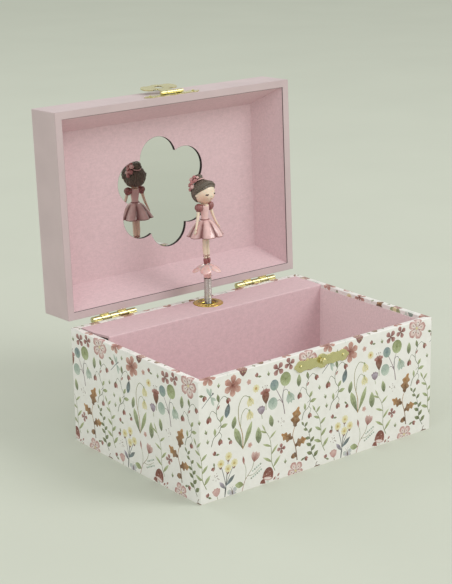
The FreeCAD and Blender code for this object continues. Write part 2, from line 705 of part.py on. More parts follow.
def output_bearing():
    """Upright sleeve that carries the dancer's drive shaft, on a web from the bedplate."""
    sleeve = rod(2.6, (POST_X, POST_Y, 44), Z_AXIS, 10)
    web = block(POST_X - 1.2, POST_X + 1.2, POST_Y + 2.0, BED_Y, 44, 54)
    foot = block(POST_X - 5, POST_X + 5, BED_Y - 1.2, BED_Y, 44, 53.8)
    return join([sleeve, web, foot]).cut(rod(1.0 + FIT, (POST_X, POST_Y, 40), Z_AXIS, 20))


def output_shaft():
    """Drive shaft with its ten-leaf pinion below the bearing; its top end turns the spring post."""
    gear = spur(PINION_TEETH, MODULE, 2.2, 0)
    gear.rotate(Vector(0, 0, 0), Y_AXIS, -90)
    gear.translate(Vector(POST_X, POST_Y, BARREL_Z + BARREL_R - 1.1))
    shaft = rod(1.0, (POST_X, POST_Y, BARREL_Z + BARREL_R), Z_AXIS, 68.5 - BARREL_Z - BARREL_R)
    collar = rod(1.9, (POST_X, POST_Y, 54.3), Z_AXIS, 1.6)
    return join([gear, shaft, collar])


def movement_supports():
    """Three bearing plates for the cylinder and the fan, and the riser under the comb."""
    right = block(-14.6, -13.4, 40, BED_Y, BARREL_Z - 3.5, BARREL_Z + 3.5)
    left = block(-45.2, -44.0, 39.5, BED_Y, BARREL_Z - 4, FAN_Z + 4)
    outer = block(-56.4, -55.2, 40, INNER_Y, FAN_Z - 3.5, FAN_Z + 3.5)
    cyl = rod(1.0 + FIT, (-60, POST_Y, BARREL_Z), X_AXIS, 60)
    fan = rod(0.7 + FIT, (-60, POST_Y, FAN_Z), X_AXIS, 60)
    riser = block(-41.0, -15.6, POST_Y + 0.5, BED_Y, 6, 10.4)
    riser = riser.cut(Part.makeCompound([rod(1.2, (x, POST_Y, 8.2), Y_AXIS, 3.5) for x in comb_screw_places()]))
    return [b.cut(cyl).cut(fan) for b in (right, left, outer)] + [riser]


def cylinder_arbor():
    """Steel arbor of the cylinder with its driven pinion and the large gear of the governor."""
    pinion = spur(PINION_TEETH, MODULE, 2.2, 0)
    pinion.translate(Vector(POST_X - BARREL_R - 1.1, POST_Y, BARREL_Z))
    gear = spur(CYL_GEAR_TEETH, FINE_MODULE, 1.4, 0)
    gear.rotate(Vector(0, 0, 0), X_AXIS, 180.0 / CYL_GEAR_TEETH)
    gear.translate(Vector(-43.4, POST_Y, BARREL_Z))
    end = -45.6
    arbor = rod(1.0, (end, POST_Y, BARREL_Z), X_AXIS, POST_X - BARREL_R - end)
    return join([pinion, gear, arbor])


def pin_cylinder():
    """Pinned brass cylinder: two plucking pins for each note, placed by a fixed stride round it."""
    length, radius = 25.6, 6.0
    x0 = -41.2
    body = rod(radius, (x0, 0, 0), X_AXIS, length)
    pins = []
    for note in range(NOTES):
        x = x0 + 1.6 + note * (length - 3.2) / (NOTES - 1)
        for stroke in range(2):
            pin = rod(0.22, (x, 0, radius - 0.2), Z_AXIS, 0.65)
            pin.rotate(Vector(x, 0, 0), X_AXIS, 31.0 + 137.5 * note + 173.0 * stroke)
            pins.append(pin)
    cylinder = join([body] + pins).cut(rod(1.0, (x0 - 1, 0, 0), X_AXIS, length + 2))
    cylinder.translate(Vector(0, POST_Y, BARREL_Z))
    return cylinder


def comb():
    """Steel comb: eighteen tongues whose tips end just short of the cylinder's pins."""
    tip_z = BARREL_Z - 6.9
    plate = block(-41.0, -15.6, POST_Y - 0.5, POST_Y + 0.5, 5.5, tip_z)
    pitch = 25.4 / NOTES
    slots = [block(-41.0 + k * pitch - 0.15, -41.0 + k * pitch + 0.15, POST_Y - 1, POST_Y + 1, 11.0, tip_z + 1)
             for k in range(1, NOTES)]
    holes = [rod(1.25, (x, POST_Y - 2, 8.2), Y_AXIS, 4) for x in comb_screw_places()]
    return plate.cut(Part.makeCompound(slots + holes))


def governor_fan():
    """Air brake: an arbor with a small pinion and two flat blades."""
    pinion = spur(FAN_PINION_TEETH, FINE_MODULE, 1.4, 0)
    pinion.rotate(Vector(0, 0, 0), X_AXIS, 90)
    pinion.translate(Vector(-43.4, POST_Y, FAN_Z))
    arbor = rod(0.7, (-56.6, POST_Y, FAN_Z), X_AXIS, 14.8)
    hub = rod(1.3, (-54.4, POST_Y, FAN_Z), X_AXIS, 8.6)
    blade = block(-54.0, -46.2, POST_Y - 0.25, POST_Y + 0.25, FAN_Z - 5.2, FAN_Z + 5.2)
    return join([pinion, arbor, hub, blade])


# ---- everything ---------------------------------------------------------------------------------------
def base():
    base_boards()
    export("base_paper_wrap", base_paper())
    x, y = INNER_X - PAPER, INNER_Y - PAPER
    export("tray_floor_lining", block(-x, x, -y, COVER_FRONT + COVER_CARD, FLOOR_Z, FLOOR_Z + CARD))
    export("wall_linings", *wall_linings())
    export("movement_cover", movement_cover())
    export("cover_blocks", *cover_blocks())
    export("post_eyelet", post_eyelet())
    export("catch_plate", catch_plate())
    export("catch_stud", catch_stud())
    nails = [nail((x, -HALF_D - 0.5, z), -Y_AXIS) for x, z in plate_nails(STUD_Z)]
    nails += [nail((x, HALF_D + LEAF, z), Y_AXIS) for x, z in hinge_nails(-1)]
    export("base_nails", *nails)


def hinges():
    for name, x in (("left", -HINGE_X), ("right", HINGE_X)):
        export("hinge_%s_base_leaf" % name, hinge_leaf(x, 0, False))
        export("hinge_%s_lid_leaf" % name, opened(hinge_leaf(x, 1, True)))
    export("hinge_pins", *hinge_pins())


def lid():
    lid_boards()
    export("lid_paper_wrap", opened(lid_paper()))
    export("lid_liner_sides", *[opened(w) for w in lid_liner_sides()])
    export("lid_liner_panel", opened(lid_liner_panel()))
    export("lid_mirror", opened(lid_mirror()))
    export("latch_plate", opened(latch_plate()))
    export("latch_pin", opened(latch_pin()))
    export("latch_flap", opened(latch_flap()))
    nails = [nail((x, LID_FRONT - 0.5, z), -Y_AXIS) for x, z in plate_nails(LATCH_Z)]
    nails += [nail((x, HALF_D + LEAF, z), Y_AXIS) for x, z in hinge_nails(1)]
    export("lid_nails", *[opened(n) for n in nails])


def movement():
    export("movement_bedplate", bedplate())
    export("movement_screws", *movement_screws())
    export("barrel_bridge", barrel_bridge())
    export("spring_barrel", spring_barrel())
    export("barrel_cap", barrel_cap())
    export("mainspring", mainspring())
    export("winding_arbor", winding_arbor())
    export("winding_key", winding_key())
    export("output_bearing", output_bearing())
    export("output_shaft", output_shaft())
    export("movement_supports", *movement_supports())
    export("cylinder_arbor", cylinder_arbor())
    export("pin_cylinder", pin_cylinder())
    export("comb", comb())
    export("governor_fan", governor_fan())


os.makedirs("parts", exist_ok=True)
base()
hinges()
lid()
export("post_spring", post_spring())
dancer()
movement()
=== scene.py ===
import json
import math
import random

import bmesh
import bpy
import numpy as np
from mathutils import Matrix, Vector
from mathutils.geometry import delaunay_2d_cdt


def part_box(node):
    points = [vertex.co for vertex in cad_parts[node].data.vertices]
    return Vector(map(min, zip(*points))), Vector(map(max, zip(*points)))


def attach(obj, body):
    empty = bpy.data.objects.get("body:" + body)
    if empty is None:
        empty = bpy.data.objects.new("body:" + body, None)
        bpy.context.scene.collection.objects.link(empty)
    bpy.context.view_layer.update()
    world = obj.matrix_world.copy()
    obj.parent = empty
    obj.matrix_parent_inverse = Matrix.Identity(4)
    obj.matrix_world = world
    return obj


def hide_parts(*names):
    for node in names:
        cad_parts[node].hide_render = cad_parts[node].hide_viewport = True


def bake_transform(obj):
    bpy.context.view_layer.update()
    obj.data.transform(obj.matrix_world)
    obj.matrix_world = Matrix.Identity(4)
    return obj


# Looks of the ballerina jewellery box. Shapes are worked out in millimetres in the frame of the CAD part
# (+Z up, +X right along the front, +Y back) and turned into metres where a mesh is made.

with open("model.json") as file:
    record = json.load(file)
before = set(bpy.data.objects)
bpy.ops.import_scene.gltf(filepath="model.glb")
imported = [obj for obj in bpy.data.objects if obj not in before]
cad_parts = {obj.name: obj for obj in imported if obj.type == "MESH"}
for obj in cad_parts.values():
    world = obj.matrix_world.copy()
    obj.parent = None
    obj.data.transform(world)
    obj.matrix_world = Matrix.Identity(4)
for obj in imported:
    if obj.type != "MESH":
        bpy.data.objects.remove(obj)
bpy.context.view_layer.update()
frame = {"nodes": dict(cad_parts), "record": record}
NODES = frame["nodes"]
JOINTS = {j["name"]: j for j in frame["record"]["behaviour"]["joints"]}
MM = 0.001


def box_mm(node):
    low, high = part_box(node)
    return Vector(low) / MM, Vector(high) / MM


def ink(red, green, blue):
    """Linear colour of an sRGB one that is given as 0 to 255."""
    out = []
    for c in (red, green, blue):
        c /= 255
        out.append(c / 12.92 if c <= 0.04045 else ((c + 0.055) / 1.055) ** 2.4)
    return tuple(out)


# ---- meshes -------------------------------------------------------------------------------------------
def add_mesh(name, verts, faces, finish, body, stands_for=(), place=None, flat=False):
    """A piece from points in millimetres; place moves them into the frame."""
    mesh = bpy.data.meshes.new(name)
    points = [(place @ Vector(v) if place else Vector(v)) * MM for v in verts]
    mesh.from_pydata(points, [], faces)
    work = bmesh.new()
    work.from_mesh(mesh)
    bmesh.ops.recalc_face_normals(work, faces=work.faces)
    work.to_mesh(mesh)
    work.free()
    mesh.polygons.foreach_set("use_smooth", [not flat] * len(mesh.polygons))
    mesh.materials.append(finish)
    piece = bpy.data.objects.new(name, mesh)
    bpy.context.scene.collection.objects.link(piece)
    if body:
        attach(piece, body)
    if stands_for:
        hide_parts(*stands_for)
    return piece


def angles(count):
    """Even steps round a circle, in radians."""
    return [2 * math.pi * k / count for k in range(count)]


def loft(rings, caps=True):
    """Skin over closed rings of equal length."""
    n = len(rings[0])
    verts = [p for ring in rings for p in ring]
    faces = []
    for i in range(len(rings) - 1):
        for j in range(n):
            k = (j + 1) % n
            faces.append((i * n + j, i * n + k, (i + 1) * n + k, (i + 1) * n + j))
    if caps:
        last = (len(rings) - 1) * n
        faces.append(tuple(reversed(range(n))))
        faces.append(tuple(range(last, last + n)))
    return verts, faces


def merged(parts):
    verts, faces = [], []
    for part_verts, part_faces in parts:
        start = len(verts)
        verts.extend(part_verts)
        faces.extend(tuple(i + start for i in f) for f in part_faces)
    return verts, faces


def moved(part, matrix):
    return [matrix @ Vector(v) for v in part[0]], part[1]


def lathe(profile, segments=64):
    """A solid turned about the vertical axis from (radius, height) points."""
    return loft([[Vector((r * math.cos(a), r * math.sin(a), z)) for a in angles(segments)]
                 for r, z in profile])


def turned_ring(profile, segments=96, centre=(0, 0)):
    """A ring turned from a closed profile of (radius, height) points."""
    n = len(profile)
    verts, faces = [], []
    for a in angles(segments):
        for r, z in profile:
            verts.append(Vector((centre[0] + r * math.cos(a), centre[1] + r * math.sin(a), z)))
    for k in range(segments):
        b = (k + 1) % segments
        for i in range(n):
            j = (i + 1) % n
            faces.append((k * n + i, b * n + i, b * n + j, k * n + j))
    return verts, faces


def smooth_path(points, steps=8):
    """Catmull-Rom curve through the points."""
    pts = [Vector(p) for p in points]
    last = len(pts) - 1
    out = []
    for i in range(last):
        p0, p1, p2, p3 = pts[max(i - 1, 0)], pts[i], pts[i + 1], pts[min(i + 2, last)]
        for k in range(steps):
            t = k / steps
            out.append(0.5 * (2 * p1 + (p2 - p0) * t + (2 * p0 - 5 * p1 + 4 * p2 - p3) * t * t
                              + (3 * p1 - p0 - 3 * p2 + p3) * t ** 3))
    out.append(pts[-1])
    return out


def sweep(path, radius, sides=8, closed=False):
    """A tube along a path; radius is a number or a function of 0 to 1."""
    n = len(path)
    tangents = []
    for i in range(n):
        a = path[i - 1] if (closed or i > 0) else path[i]
        b = path[(i + 1) % n] if (closed or i < n - 1) else path[i]
        tangents.append((b - a).normalized())
    normal = tangents[0].orthogonal()
    rings = []
    for i, t in enumerate(tangents):
        normal = (normal - t * normal.dot(t)).normalized()
        side = t.cross(normal)
        r = radius(i / (n - 1)) if callable(radius) else radius
        rings.append([path[i] + normal * (r * math.cos(a)) + side * (r * math.sin(a)) for a in angles(sides)])
    if closed:
        verts, faces = loft(rings, caps=False)
        last = (n - 1) * sides
        faces += [(last + k, last + (k + 1) % sides, (k + 1) % sides, k) for k in range(sides)]
        return verts, faces
    return loft(rings)


def ellipsoid(centre, radii, rows=12, segments=20):
    latitudes = [math.pi * (i + 0.02) / (rows + 0.04) for i in range(rows + 1)]
    profile = [(math.sin(b), -math.cos(b)) for b in latitudes]
    verts, faces = lathe(profile, segments)
    c = Vector(centre)
    return [c + Vector((v.x * radii[0], v.y * radii[1], v.z * radii[2])) for v in verts], faces


# ---- finishes -----------------------------------------------------------------------------------------
class Finish:
    """A Principled material with helpers for patterns that are laid out in the piece's own space."""

    def __init__(self, name, colour, rough, **sockets):
        self.material = bpy.data.materials.new(name)
        self.material.use_nodes = True
        self.tree = self.material.node_tree
        self.shader = self.tree.nodes["Principled BSDF"]
        self.colour = colour + (1.0,)
        self.shader.inputs["Base Color"].default_value = self.colour
        self.shader.inputs["Roughness"].default_value = rough
        for key, value in sockets.items():
            self.shader.inputs[key.replace("_", " ")].default_value = value
        self.place = self.node("ShaderNodeTexCoord").outputs["Object"]
        self.normal = None

    def node(self, kind, **settings):
        made = self.tree.nodes.new(kind)
        for key, value in settings.items():
            setattr(made, key, value)
        return made

    def put(self, socket, value):
        if isinstance(value, bpy.types.NodeSocket):
            self.tree.links.new(value, socket)
        else:
            socket.default_value = value

    def noise(self, scale, detail=3.0, rough=0.5, stretch=None):
        """Noise of about that many features to a metre."""
        n = self.node("ShaderNodeTexNoise")
        n.inputs["Scale"].default_value = scale
        n.inputs["Detail"].default_value = detail
        n.inputs["Roughness"].default_value = rough
        place = self.place
        if stretch:
            mapping = self.node("ShaderNodeMapping")
            mapping.inputs["Scale"].default_value = stretch
            self.put(mapping.inputs["Vector"], place)
            place = mapping.outputs["Vector"]
        self.put(n.inputs["Vector"], place)
        return n.outputs["Fac"]

    def spread(self, value, low, high, out_low=0.0, out_high=1.0):
        """Map a value from low..high to the output range, held at its ends."""
        n = self.node("ShaderNodeMapRange")
        for name, v in (("From Min", low), ("From Max", high), ("To Min", out_low), ("To Max", out_high)):
            n.inputs[name].default_value = v
        self.put(n.inputs["Value"], value)
        return n.outputs["Result"]

    def mix(self, amount, first, second, blend="MIX"):
        n = self.node("ShaderNodeMix", data_type="RGBA", blend_type=blend)
        self.put(n.inputs["Factor"], amount)
        for socket, value in ((n.inputs["A"], first), (n.inputs["B"], second)):
            colours = [i for i in n.inputs if i.name == socket.name and i.type == "RGBA"]
            self.put(colours[0], value + (1.0,) if isinstance(value, tuple) and len(value) == 3 else value)
        return [o for o in n.outputs if o.type == "RGBA"][0]

    def paint(self, value):
        self.put(self.shader.inputs["Base Color"], value)

    def vary(self, amount, dark, light):
        """Colour that runs from dark to light times the base colour."""
        a = tuple(c * dark for c in self.colour[:3])
        b = tuple(min(c * light, 1.0) for c in self.colour[:3])
        mixed = self.mix(amount, a, b)
        self.paint(mixed)
        return mixed

    def rounded(self, radius_mm):
        n = self.node("ShaderNodeBevel", samples=4)
        n.inputs["Radius"].default_value = radius_mm * MM
        self.normal = n.outputs["Normal"]
        self.put(self.shader.inputs["Normal"], self.normal)

    def bump(self, height, depth_mm, strength=1.0):
        n = self.node("ShaderNodeBump")
        n.inputs["Distance"].default_value = depth_mm * MM
        n.inputs["Strength"].default_value = strength
        self.put(n.inputs["Height"], height)
        if self.normal is not None:
            self.put(n.inputs["Normal"], self.normal)
        self.normal = n.outputs["Normal"]
        self.put(self.shader.inputs["Normal"], self.normal)

    def rough(self, value):
        self.put(self.shader.inputs["Roughness"], value)


def lid_paper():
    f = Finish("lid paper", ink(204, 185, 187), 0.42)
    f.shader.inputs["Specular IOR Level"].default_value = 0.4
    f.vary(f.spread(f.noise(55, 4), 0.35, 0.65), 0.965, 1.03)
    f.rounded(0.35)
    f.bump(f.noise(900, 3), 0.02, 0.5)
    return f.material


def lining_paper(name="lining paper", colour=(222, 194, 199)):
    """Matt pink paper with a fine fibre that mottles it."""
    f = Finish(name, ink(*colour), 0.85)
    f.shader.inputs["Specular IOR Level"].default_value = 0.2
    speck = f.mix(0.5, f.noise(1500, 4, 0.65), f.noise(420, 3, 0.6, (1, 2.4, 1.6)))
    f.vary(f.spread(speck, 0.36, 0.64), 0.91, 1.07)
    f.bump(speck, 0.06, 0.6)
    return f.material


def print_paper():
    """White satin paper; the drawing on it comes with the mesh, as a colour whose alpha says where ink is."""
    f = Finish("printed paper", ink(236, 235, 231), 0.38)
    f.shader.inputs["Specular IOR Level"].default_value = 0.35
    drawn = f.node("ShaderNodeVertexColor", layer_name="print")
    wash = f.spread(f.noise(520, 5, 0.62), 0.36, 0.66)
    blot = f.spread(f.noise(1600, 3, 0.6), 0.3, 0.7, 0.0, 0.35)
    pale = f.mix(0.14, drawn.outputs["Color"], ink(236, 236, 228))
    deep = f.mix(0.42, drawn.outputs["Color"], drawn.outputs["Color"], "MULTIPLY")
    washed = f.mix(blot, f.mix(wash, deep, pale), drawn.outputs["Color"])
    fibre = f.mix(f.spread(f.noise(260, 4), 0.35, 0.65), ink(235, 233, 229), ink(240, 238, 235))
    f.paint(f.mix(drawn.outputs["Alpha"], fibre, washed))
    f.bump(f.noise(1100, 3), 0.018, 0.5)
    return f.material


def sole_paper():
    f = Finish("sole paper", ink(226, 224, 214), 0.8)
    f.vary(f.spread(f.noise(300, 5, 0.6), 0.3, 0.7), 0.93, 1.04)
    f.bump(f.noise(1300, 4), 0.04, 0.6)
    return f.material


def board():
    """Raw fibreboard, with short darker fibres."""
    f = Finish("fibreboard", ink(186, 150, 108), 0.85)
    fibres = f.noise(700, 5, 0.7, (1, 3.5, 1))
    f.vary(f.spread(fibres, 0.3, 0.7), 0.72, 1.12)
    f.bump(fibres, 0.08, 0.7)
    return f.material


def mirror():
    f = Finish("mirror", ink(214, 215, 212), 0.015, Metallic=1.0)
    f.vary(f.spread(f.noise(12, 2), 0.3, 0.7), 0.985, 1.0)
    return f.material


def brass(name="brass", colour=(216, 209, 158), low=0.16, high=0.30, edge=0.16):
    f = Finish(name, ink(*colour), 0.22, Metallic=1.0)
    tarnish = f.spread(f.noise(160, 5, 0.6), 0.3, 0.72)
    f.vary(tarnish, 0.90, 1.04)
    f.rough(f.spread(f.noise(420, 4, 0.6), 0.3, 0.7, low, high))
    f.rounded(edge)
    f.bump(f.noise(650, 3), 0.012, 0.6)
    return f.material


def steel(name, colour, low, high, stretch=(1, 1, 1)):
    f = Finish(name, ink(*colour), 0.25, Metallic=1.0)
    lines = f.noise(1800, 3, 0.6, stretch)
    f.vary(f.spread(lines, 0.3, 0.7), 0.92, 1.03)
    f.rough(f.spread(lines, 0.3, 0.7, low, high))
    return f.material


def painted(name, colour, rough, coat=0.0, dark=0.93, light=1.05, grain=600, depth=0.02, **sockets):
    """Cast resin under brushed paint."""
    f = Finish(name, ink(*colour), rough, **sockets)
    f.shader.inputs["Coat Weight"].default_value = coat
    f.shader.inputs["Coat Roughness"].default_value = 0.12
    f.vary(f.spread(f.noise(grain, 4, 0.6), 0.32, 0.68), dark, light)
    f.bump(f.noise(grain * 2.2, 3), depth, 0.6)
    return f


# ---- drawing of the printed paper ---------------------------------------------------------------------
OLIVE, SAGE, MOSS = ink(138, 146, 98), ink(184, 194, 152), ink(104, 113, 82)
TEAL, MIST, SLATE = ink(160, 178, 168), ink(202, 212, 202), ink(124, 142, 148)
ROSE, BLUSH, WINE = ink(192, 146, 142), ink(222, 194, 190), ink(112, 56, 50)
BRICK, RUST, UMBER = ink(146, 82, 68), ink(186, 138, 88), ink(112, 78, 52)
CREAM, STRAW, GOLD = ink(234, 228, 196), ink(222, 212, 162), ink(206, 168, 84)
LILAC, MAUVE, GREY = ink(190, 180, 196), ink(140, 118, 128), ink(96, 100, 100)
PAPER_WHITE = ink(238, 237, 233)


def polar(length, degrees):
    a = math.radians(degrees)
    return Vector((length * math.cos(a), length * math.sin(a)))


class Sketch:
    """One printed motif in millimetres: flat shapes, the later ones on top."""

    def __init__(self, seed):
        self.rng = random.Random(seed)
        self.shapes = []

    def add(self, outline, root_colour, tip_colour=None, root=None, tip=None):
        centre = sum(outline, Vector((0, 0))) / len(outline)
        self.shapes.append((outline, root_colour, tip_colour or root_colour,
                            root or centre, tip or centre + Vector((0, 1))))

    def petal(self, base, length, width, turn, root_colour, tip_colour=None, peak=0.5, blunt=1.0, bend=0.0):
        """Leaf or petal shape from its base along turn; peak is where it is widest."""
        along, across = polar(1, turn), polar(1, turn + 90)
        power = math.log(0.5) / math.log(peak)
        base = Vector(base)
        sides = ([], [])
        steps = 7
        for i in range(steps + 1):
            t = i / steps
            half = width / 2 * math.sin(math.pi * min(t ** power, 1.0)) ** blunt
            half = max(half, 0.05)
            mid = base + along * (length * t) + across * (bend * length * t * t)
            sides[0].append(mid + across * half)
            sides[1].append(mid - across * half)
        tip = base + along * length + across * (bend * length)
        self.add(sides[1] + sides[0][::-1], root_colour, tip_colour, base, tip)

    def oval(self, centre, rx, ry, colour, edge=None, points=12):
        c = Vector(centre)
        across, up = polar(1, 0), polar(1, 90)
        ring = [c + across * (rx * math.cos(a)) + up * (ry * math.sin(a)) for a in angles(points)]
        self.add(ring, colour, edge, c - up * ry, c + up * ry)

    def line(self, points, start, end, colour, tip_colour=None):
        """A brush line through the points, start and end wide."""
        path = [Vector(p[:2]) for p in smooth_path([(x, y, 0) for x, y in points], 4)]
        left, right = [], []
        for i, p in enumerate(path):
            d = (path[min(i + 1, len(path) - 1)] - path[max(i - 1, 0)]).normalized()
            n = Vector((-d.y, d.x)) * (start + (end - start) * i / (len(path) - 1)) / 2
            left.append(p + n)
            right.append(p - n)
        self.add(right + left[::-1], colour, tip_colour, path[0], path[-1])

    def dots(self, centre, spread, count, size, colour):
        for _ in range(count):
            at = Vector(centre) + polar(spread * self.rng.random() ** 0.5, self.rng.uniform(0, 360))
            wide, tall = self.rng.uniform(0.7, 1.2), self.rng.uniform(0.6, 1.0)
            self.oval(at, size * wide, size * tall, colour, points=6)


def strawberry(s):
    for turn, long in ((152, 4.4), (100, 3.6), (28, 4.2)):
        s.petal((0, 1.6), long, 2.3, turn, OLIVE, SAGE, 0.5)
    s.petal((0, 2.6), 6.6, 5.0, -94, ROSE, WINE, 0.36, 0.6)
    for row, count in ((0.9, 3), (-0.5, 3), (-1.9, 2)):
        for k in range(count):
            s.oval(((k - (count - 1) / 2) * 1.35 + 0.05, row), 0.2, 0.32, STRAW, points=6)
    for turn in range(0, 360, 72):
        s.petal((0.3, 2.7), 1.5, 1.3, turn, STRAW, CREAM, 0.6, 0.7)


def spotted_flower(s):
    reach = 5.6
    for k in range(5):
        turn = 90 + 72 * k
        s.petal((0, 0), reach, reach * 0.78, turn, BLUSH, ROSE, 0.68, 0.62)
        s.petal(polar(0.6, turn), reach * 0.72, reach * 0.42, turn, PAPER_WHITE, BLUSH, 0.62, 0.8)
    for k in range(10):
        turn = 54 + 36 * k
        far = reach * (0.5 if k % 2 else 0.34)
        s.line((polar(0.4, turn), polar(far, turn)), 0.14, 0.1, MAUVE)
        s.oval(polar(far, turn), 0.32, 0.26, WINE, points=6)
    s.oval((0, 0), 0.7, 0.7, STRAW, points=8)


def cross_flower(s):
    reach = 3.5
    for k in range(4):
        turn = 40 + 90 * k
        s.petal((0, 0), reach, reach * 0.72, turn, WINE, ROSE, 0.66, 0.62)
        s.line((polar(0.5, turn), polar(reach * 0.7, turn)), 0.2, 0.08, BRICK)
    s.oval((0, 0), 0.45, 0.45, WINE, points=8)


def open_flower(s, reach=6.0, petals=6, tint=None):
    outer = tint or ink(216, 174, 162)
    for k in range(petals):
        turn = 12 + 360 / petals * k + s.rng.uniform(-4, 4)
        s.petal((0, 0), reach * s.rng.uniform(0.92, 1.0), reach * 0.58, turn, BRICK, outer, 0.68, 0.55)
        for lean in (-9, 9):
            s.line((polar(0.6, turn), polar(reach * 0.78, turn + lean)), 0.22, 0.07, BRICK, ROSE)
    s.oval((0, 0), 0.8, 0.8, WINE, BRICK, points=8)


def hanging_bud(s, at, turn=-90, size=1.0):
    s.petal(at, 2.9 * size, 1.7 * size, turn - 14, WINE, BRICK, 0.55, 0.7)
    s.petal(at, 2.7 * size, 1.3 * size, turn + 17, BRICK, ROSE, 0.55, 0.8)
    s.petal(at, 1.0 * size, 0.7 * size, turn, MOSS, OLIVE, 0.4)


def bud_vine(s):
    stem = [(-5.4, -10.6), (-3.4, -7.6), (-0.2, -6.2), (1.5, -3.0), (0.3, 0.4), (0.9, 4.0), (3.4, 6.8)]
    s.line(stem, 0.34, 0.24, MOSS)
    s.line([(3.4, 6.8), (5.6, 7.6), (7.0, 6.2)], 0.24, 0.2, MOSS)
    s.line([(0.5, 1.6), (-1.4, 4.2), (-3.2, 2.6)], 0.24, 0.18, MOSS)
    s.line([(1.4, -3.4), (-0.6, -4.4)], 0.2, 0.16, MOSS)
    s.line([(-0.2, -6.2), (0.6, -8.0), (-0.4, -9.4)], 0.22, 0.18, MOSS)
    hanging_bud(s, (7.0, 6.3), -78)
    hanging_bud(s, (-3.3, 2.7), -104, 1.15)
    hanging_bud(s, (-0.5, -9.2), -96)
    s.petal((2.6, 6.2), 3.6, 1.6, 86, MOSS, OLIVE)
    s.petal((1.0, 3.4), 2.3, 0.9, 40, ROSE, BRICK)
    s.petal((1.2, -2.4), 3.2, 1.5, 44, OLIVE, SAGE)
    s.petal((0.9, -4.6), 3.8, 1.7, -2, OLIVE, SAGE)
    s.petal((-2.6, -7.0), 3.4, 1.4, 78, OLIVE, SAGE)


def toadstool(s, cap=TEAL, under=MIST):
    s.line([(0.2, 0.4), (0.5, -3.0), (0.1, -6.2)], 1.7, 1.5, MIST, PAPER_WHITE)
    s.line([(-0.9, -2.0), (-0.9, -6.2)], 0.16, 0.12, cap)
    s.line([(-2.6, -2.6), (-2.7, -6.0)], 0.9, 0.8, MIST, PAPER_WHITE)
    s.oval((0.1, 0.2), 3.4, 1.3, under, cap)
    dome = [Vector((3.5 * math.cos(a), 0.3 + 5.6 * math.sin(a) ** 0.85)) for a in
            [math.pi * k / 12 for k in range(13)]]
    s.add(dome, cap, tuple(c * 0.78 for c in cap), Vector((0.8, 0.3)), Vector((-1.2, 5.6)))
    s.oval((0.2, 0.2), 2.5, 0.7, PAPER_WHITE, under)
    small = [Vector((-2.7 + 1.7 * math.cos(a), -2.7 + 2.3 * math.sin(a))) for a in
             [math.pi * k / 9 for k in range(10)]]
    s.add(small, cap, tuple(c * 0.85 for c in cap), Vector((-2.7, -2.7)), Vector((-2.7, -0.6)))
    for x, y, r in ((-1.2, 2.2, 0.32), (0.9, 3.6, 0.3), (1.5, 1.4, 0.26)):
        s.oval((x, y), r, r * 0.8, under, points=7)


def bellflower(s, at, size=1.0, turn=-90, colour=CREAM, rim=STRAW):
    at = Vector(at)
    s.petal(at, 3.9 * size, 3.6 * size, turn, rim, colour, 0.66, 0.5)
    for lean in (-32, 0, 32):
        lip = at + polar(2.6 * size, turn + lean * 0.4)
        s.petal(lip, 1.7 * size, 1.0 * size, turn + lean, colour, rim, 0.4)
    for lean in (-16, 4, 20):
        s.line((at + polar(0.6 * size, turn), at + polar(3.5 * size, turn + lean)), 0.13, 0.1, OLIVE)
    s.petal(at - polar(0.3, turn), 1.1 * size, 0.9 * size, turn, OLIVE, SAGE, 0.5, 0.7)


def lily(s):
    s.line([(0.4, -12), (-0.2, -6), (-2.4, 0), (-2.9, 6), (-0.8, 9.8), (2.0, 9.2)], 0.42, 0.24, RUST, OLIVE)
    s.line([(-1.4, -3), (-1.2, 2.2), (0.6, 4.6), (2.4, 3.6)], 0.26, 0.2, OLIVE)
    bellflower(s, (2.2, 9.2), 1.0, -74)
    bellflower(s, (2.6, 3.7), 1.0, -80)
    s.petal((0.2, -11.8), 10.4, 3.0, 118, MOSS, SAGE, 0.62, 0.8, -0.04)
    s.petal((0.5, -11.8), 11.4, 2.3, 68, OLIVE, SAGE, 0.6, 0.9, 0.05)
    s.line([(0.1, -11), (-3.8, -4.2)], 0.18, 0.1, MOSS)
    s.line([(0.7, -11), (4.2, -3.2)], 0.16, 0.1, MOSS)


def sprig(s, leaves=7, long=4.6, wide=1.5, root_colour=OLIVE, tip_colour=SAGE):
    stem = [(3.8, -9), (1.2, -5), (0.2, 0), (-1.6, 5.2), (-4.6, 8.6)]
    path = smooth_path([(x, y, 0) for x, y in stem], 6)
    s.line(stem, 0.34, 0.2, root_colour)
    for k in range(leaves):
        at = path[3 + int(k * (len(path) - 6) / max(leaves - 1, 1))]
        side = 1 if k % 2 else -1
        shrink = 1 - 0.35 * k / leaves
        s.petal((at.x, at.y), long * shrink, wide * shrink, 106 + side * 50 + s.rng.uniform(-8, 8),
                root_colour, tip_colour, 0.48, 0.9, 0.06 * side)
    s.petal((-4.4, 8.4), long * 0.7, wide * 0.6, 128, root_colour, tip_colour)


def posy(s):
    heads = ((-3.8, 5.0), (0.3, 8.0), (3.9, 4.4), (0.6, 2.2))
    for x, y in heads:
        s.line([(0, -11.5), (0.1, -6), (x * 0.6, (y - 3) * 0.4), (x, y - 1.0)], 0.42, 0.26, GREY)
    s.petal((0.1, -7.4), 5.4, 1.9, 136, GREY, LILAC, 0.55)
    s.petal((0.1, -6.0), 6.6, 1.9, 46, SLATE, GREY, 0.55)
    for x, y in heads:
        s.petal((x, y - 2.8), 2.8, 2.2, 90, WINE, BRICK, 0.6, 0.6)
        for k in range(9):
            s.petal((x, y), 2.1, 1.2, 20 + 40 * k, STRAW, CREAM, 0.64, 0.7)
        s.oval((x, y), 0.8, 0.7, GOLD, STRAW, points=8)
        s.dots((x, y), 0.6, 3, 0.16, OLIVE)


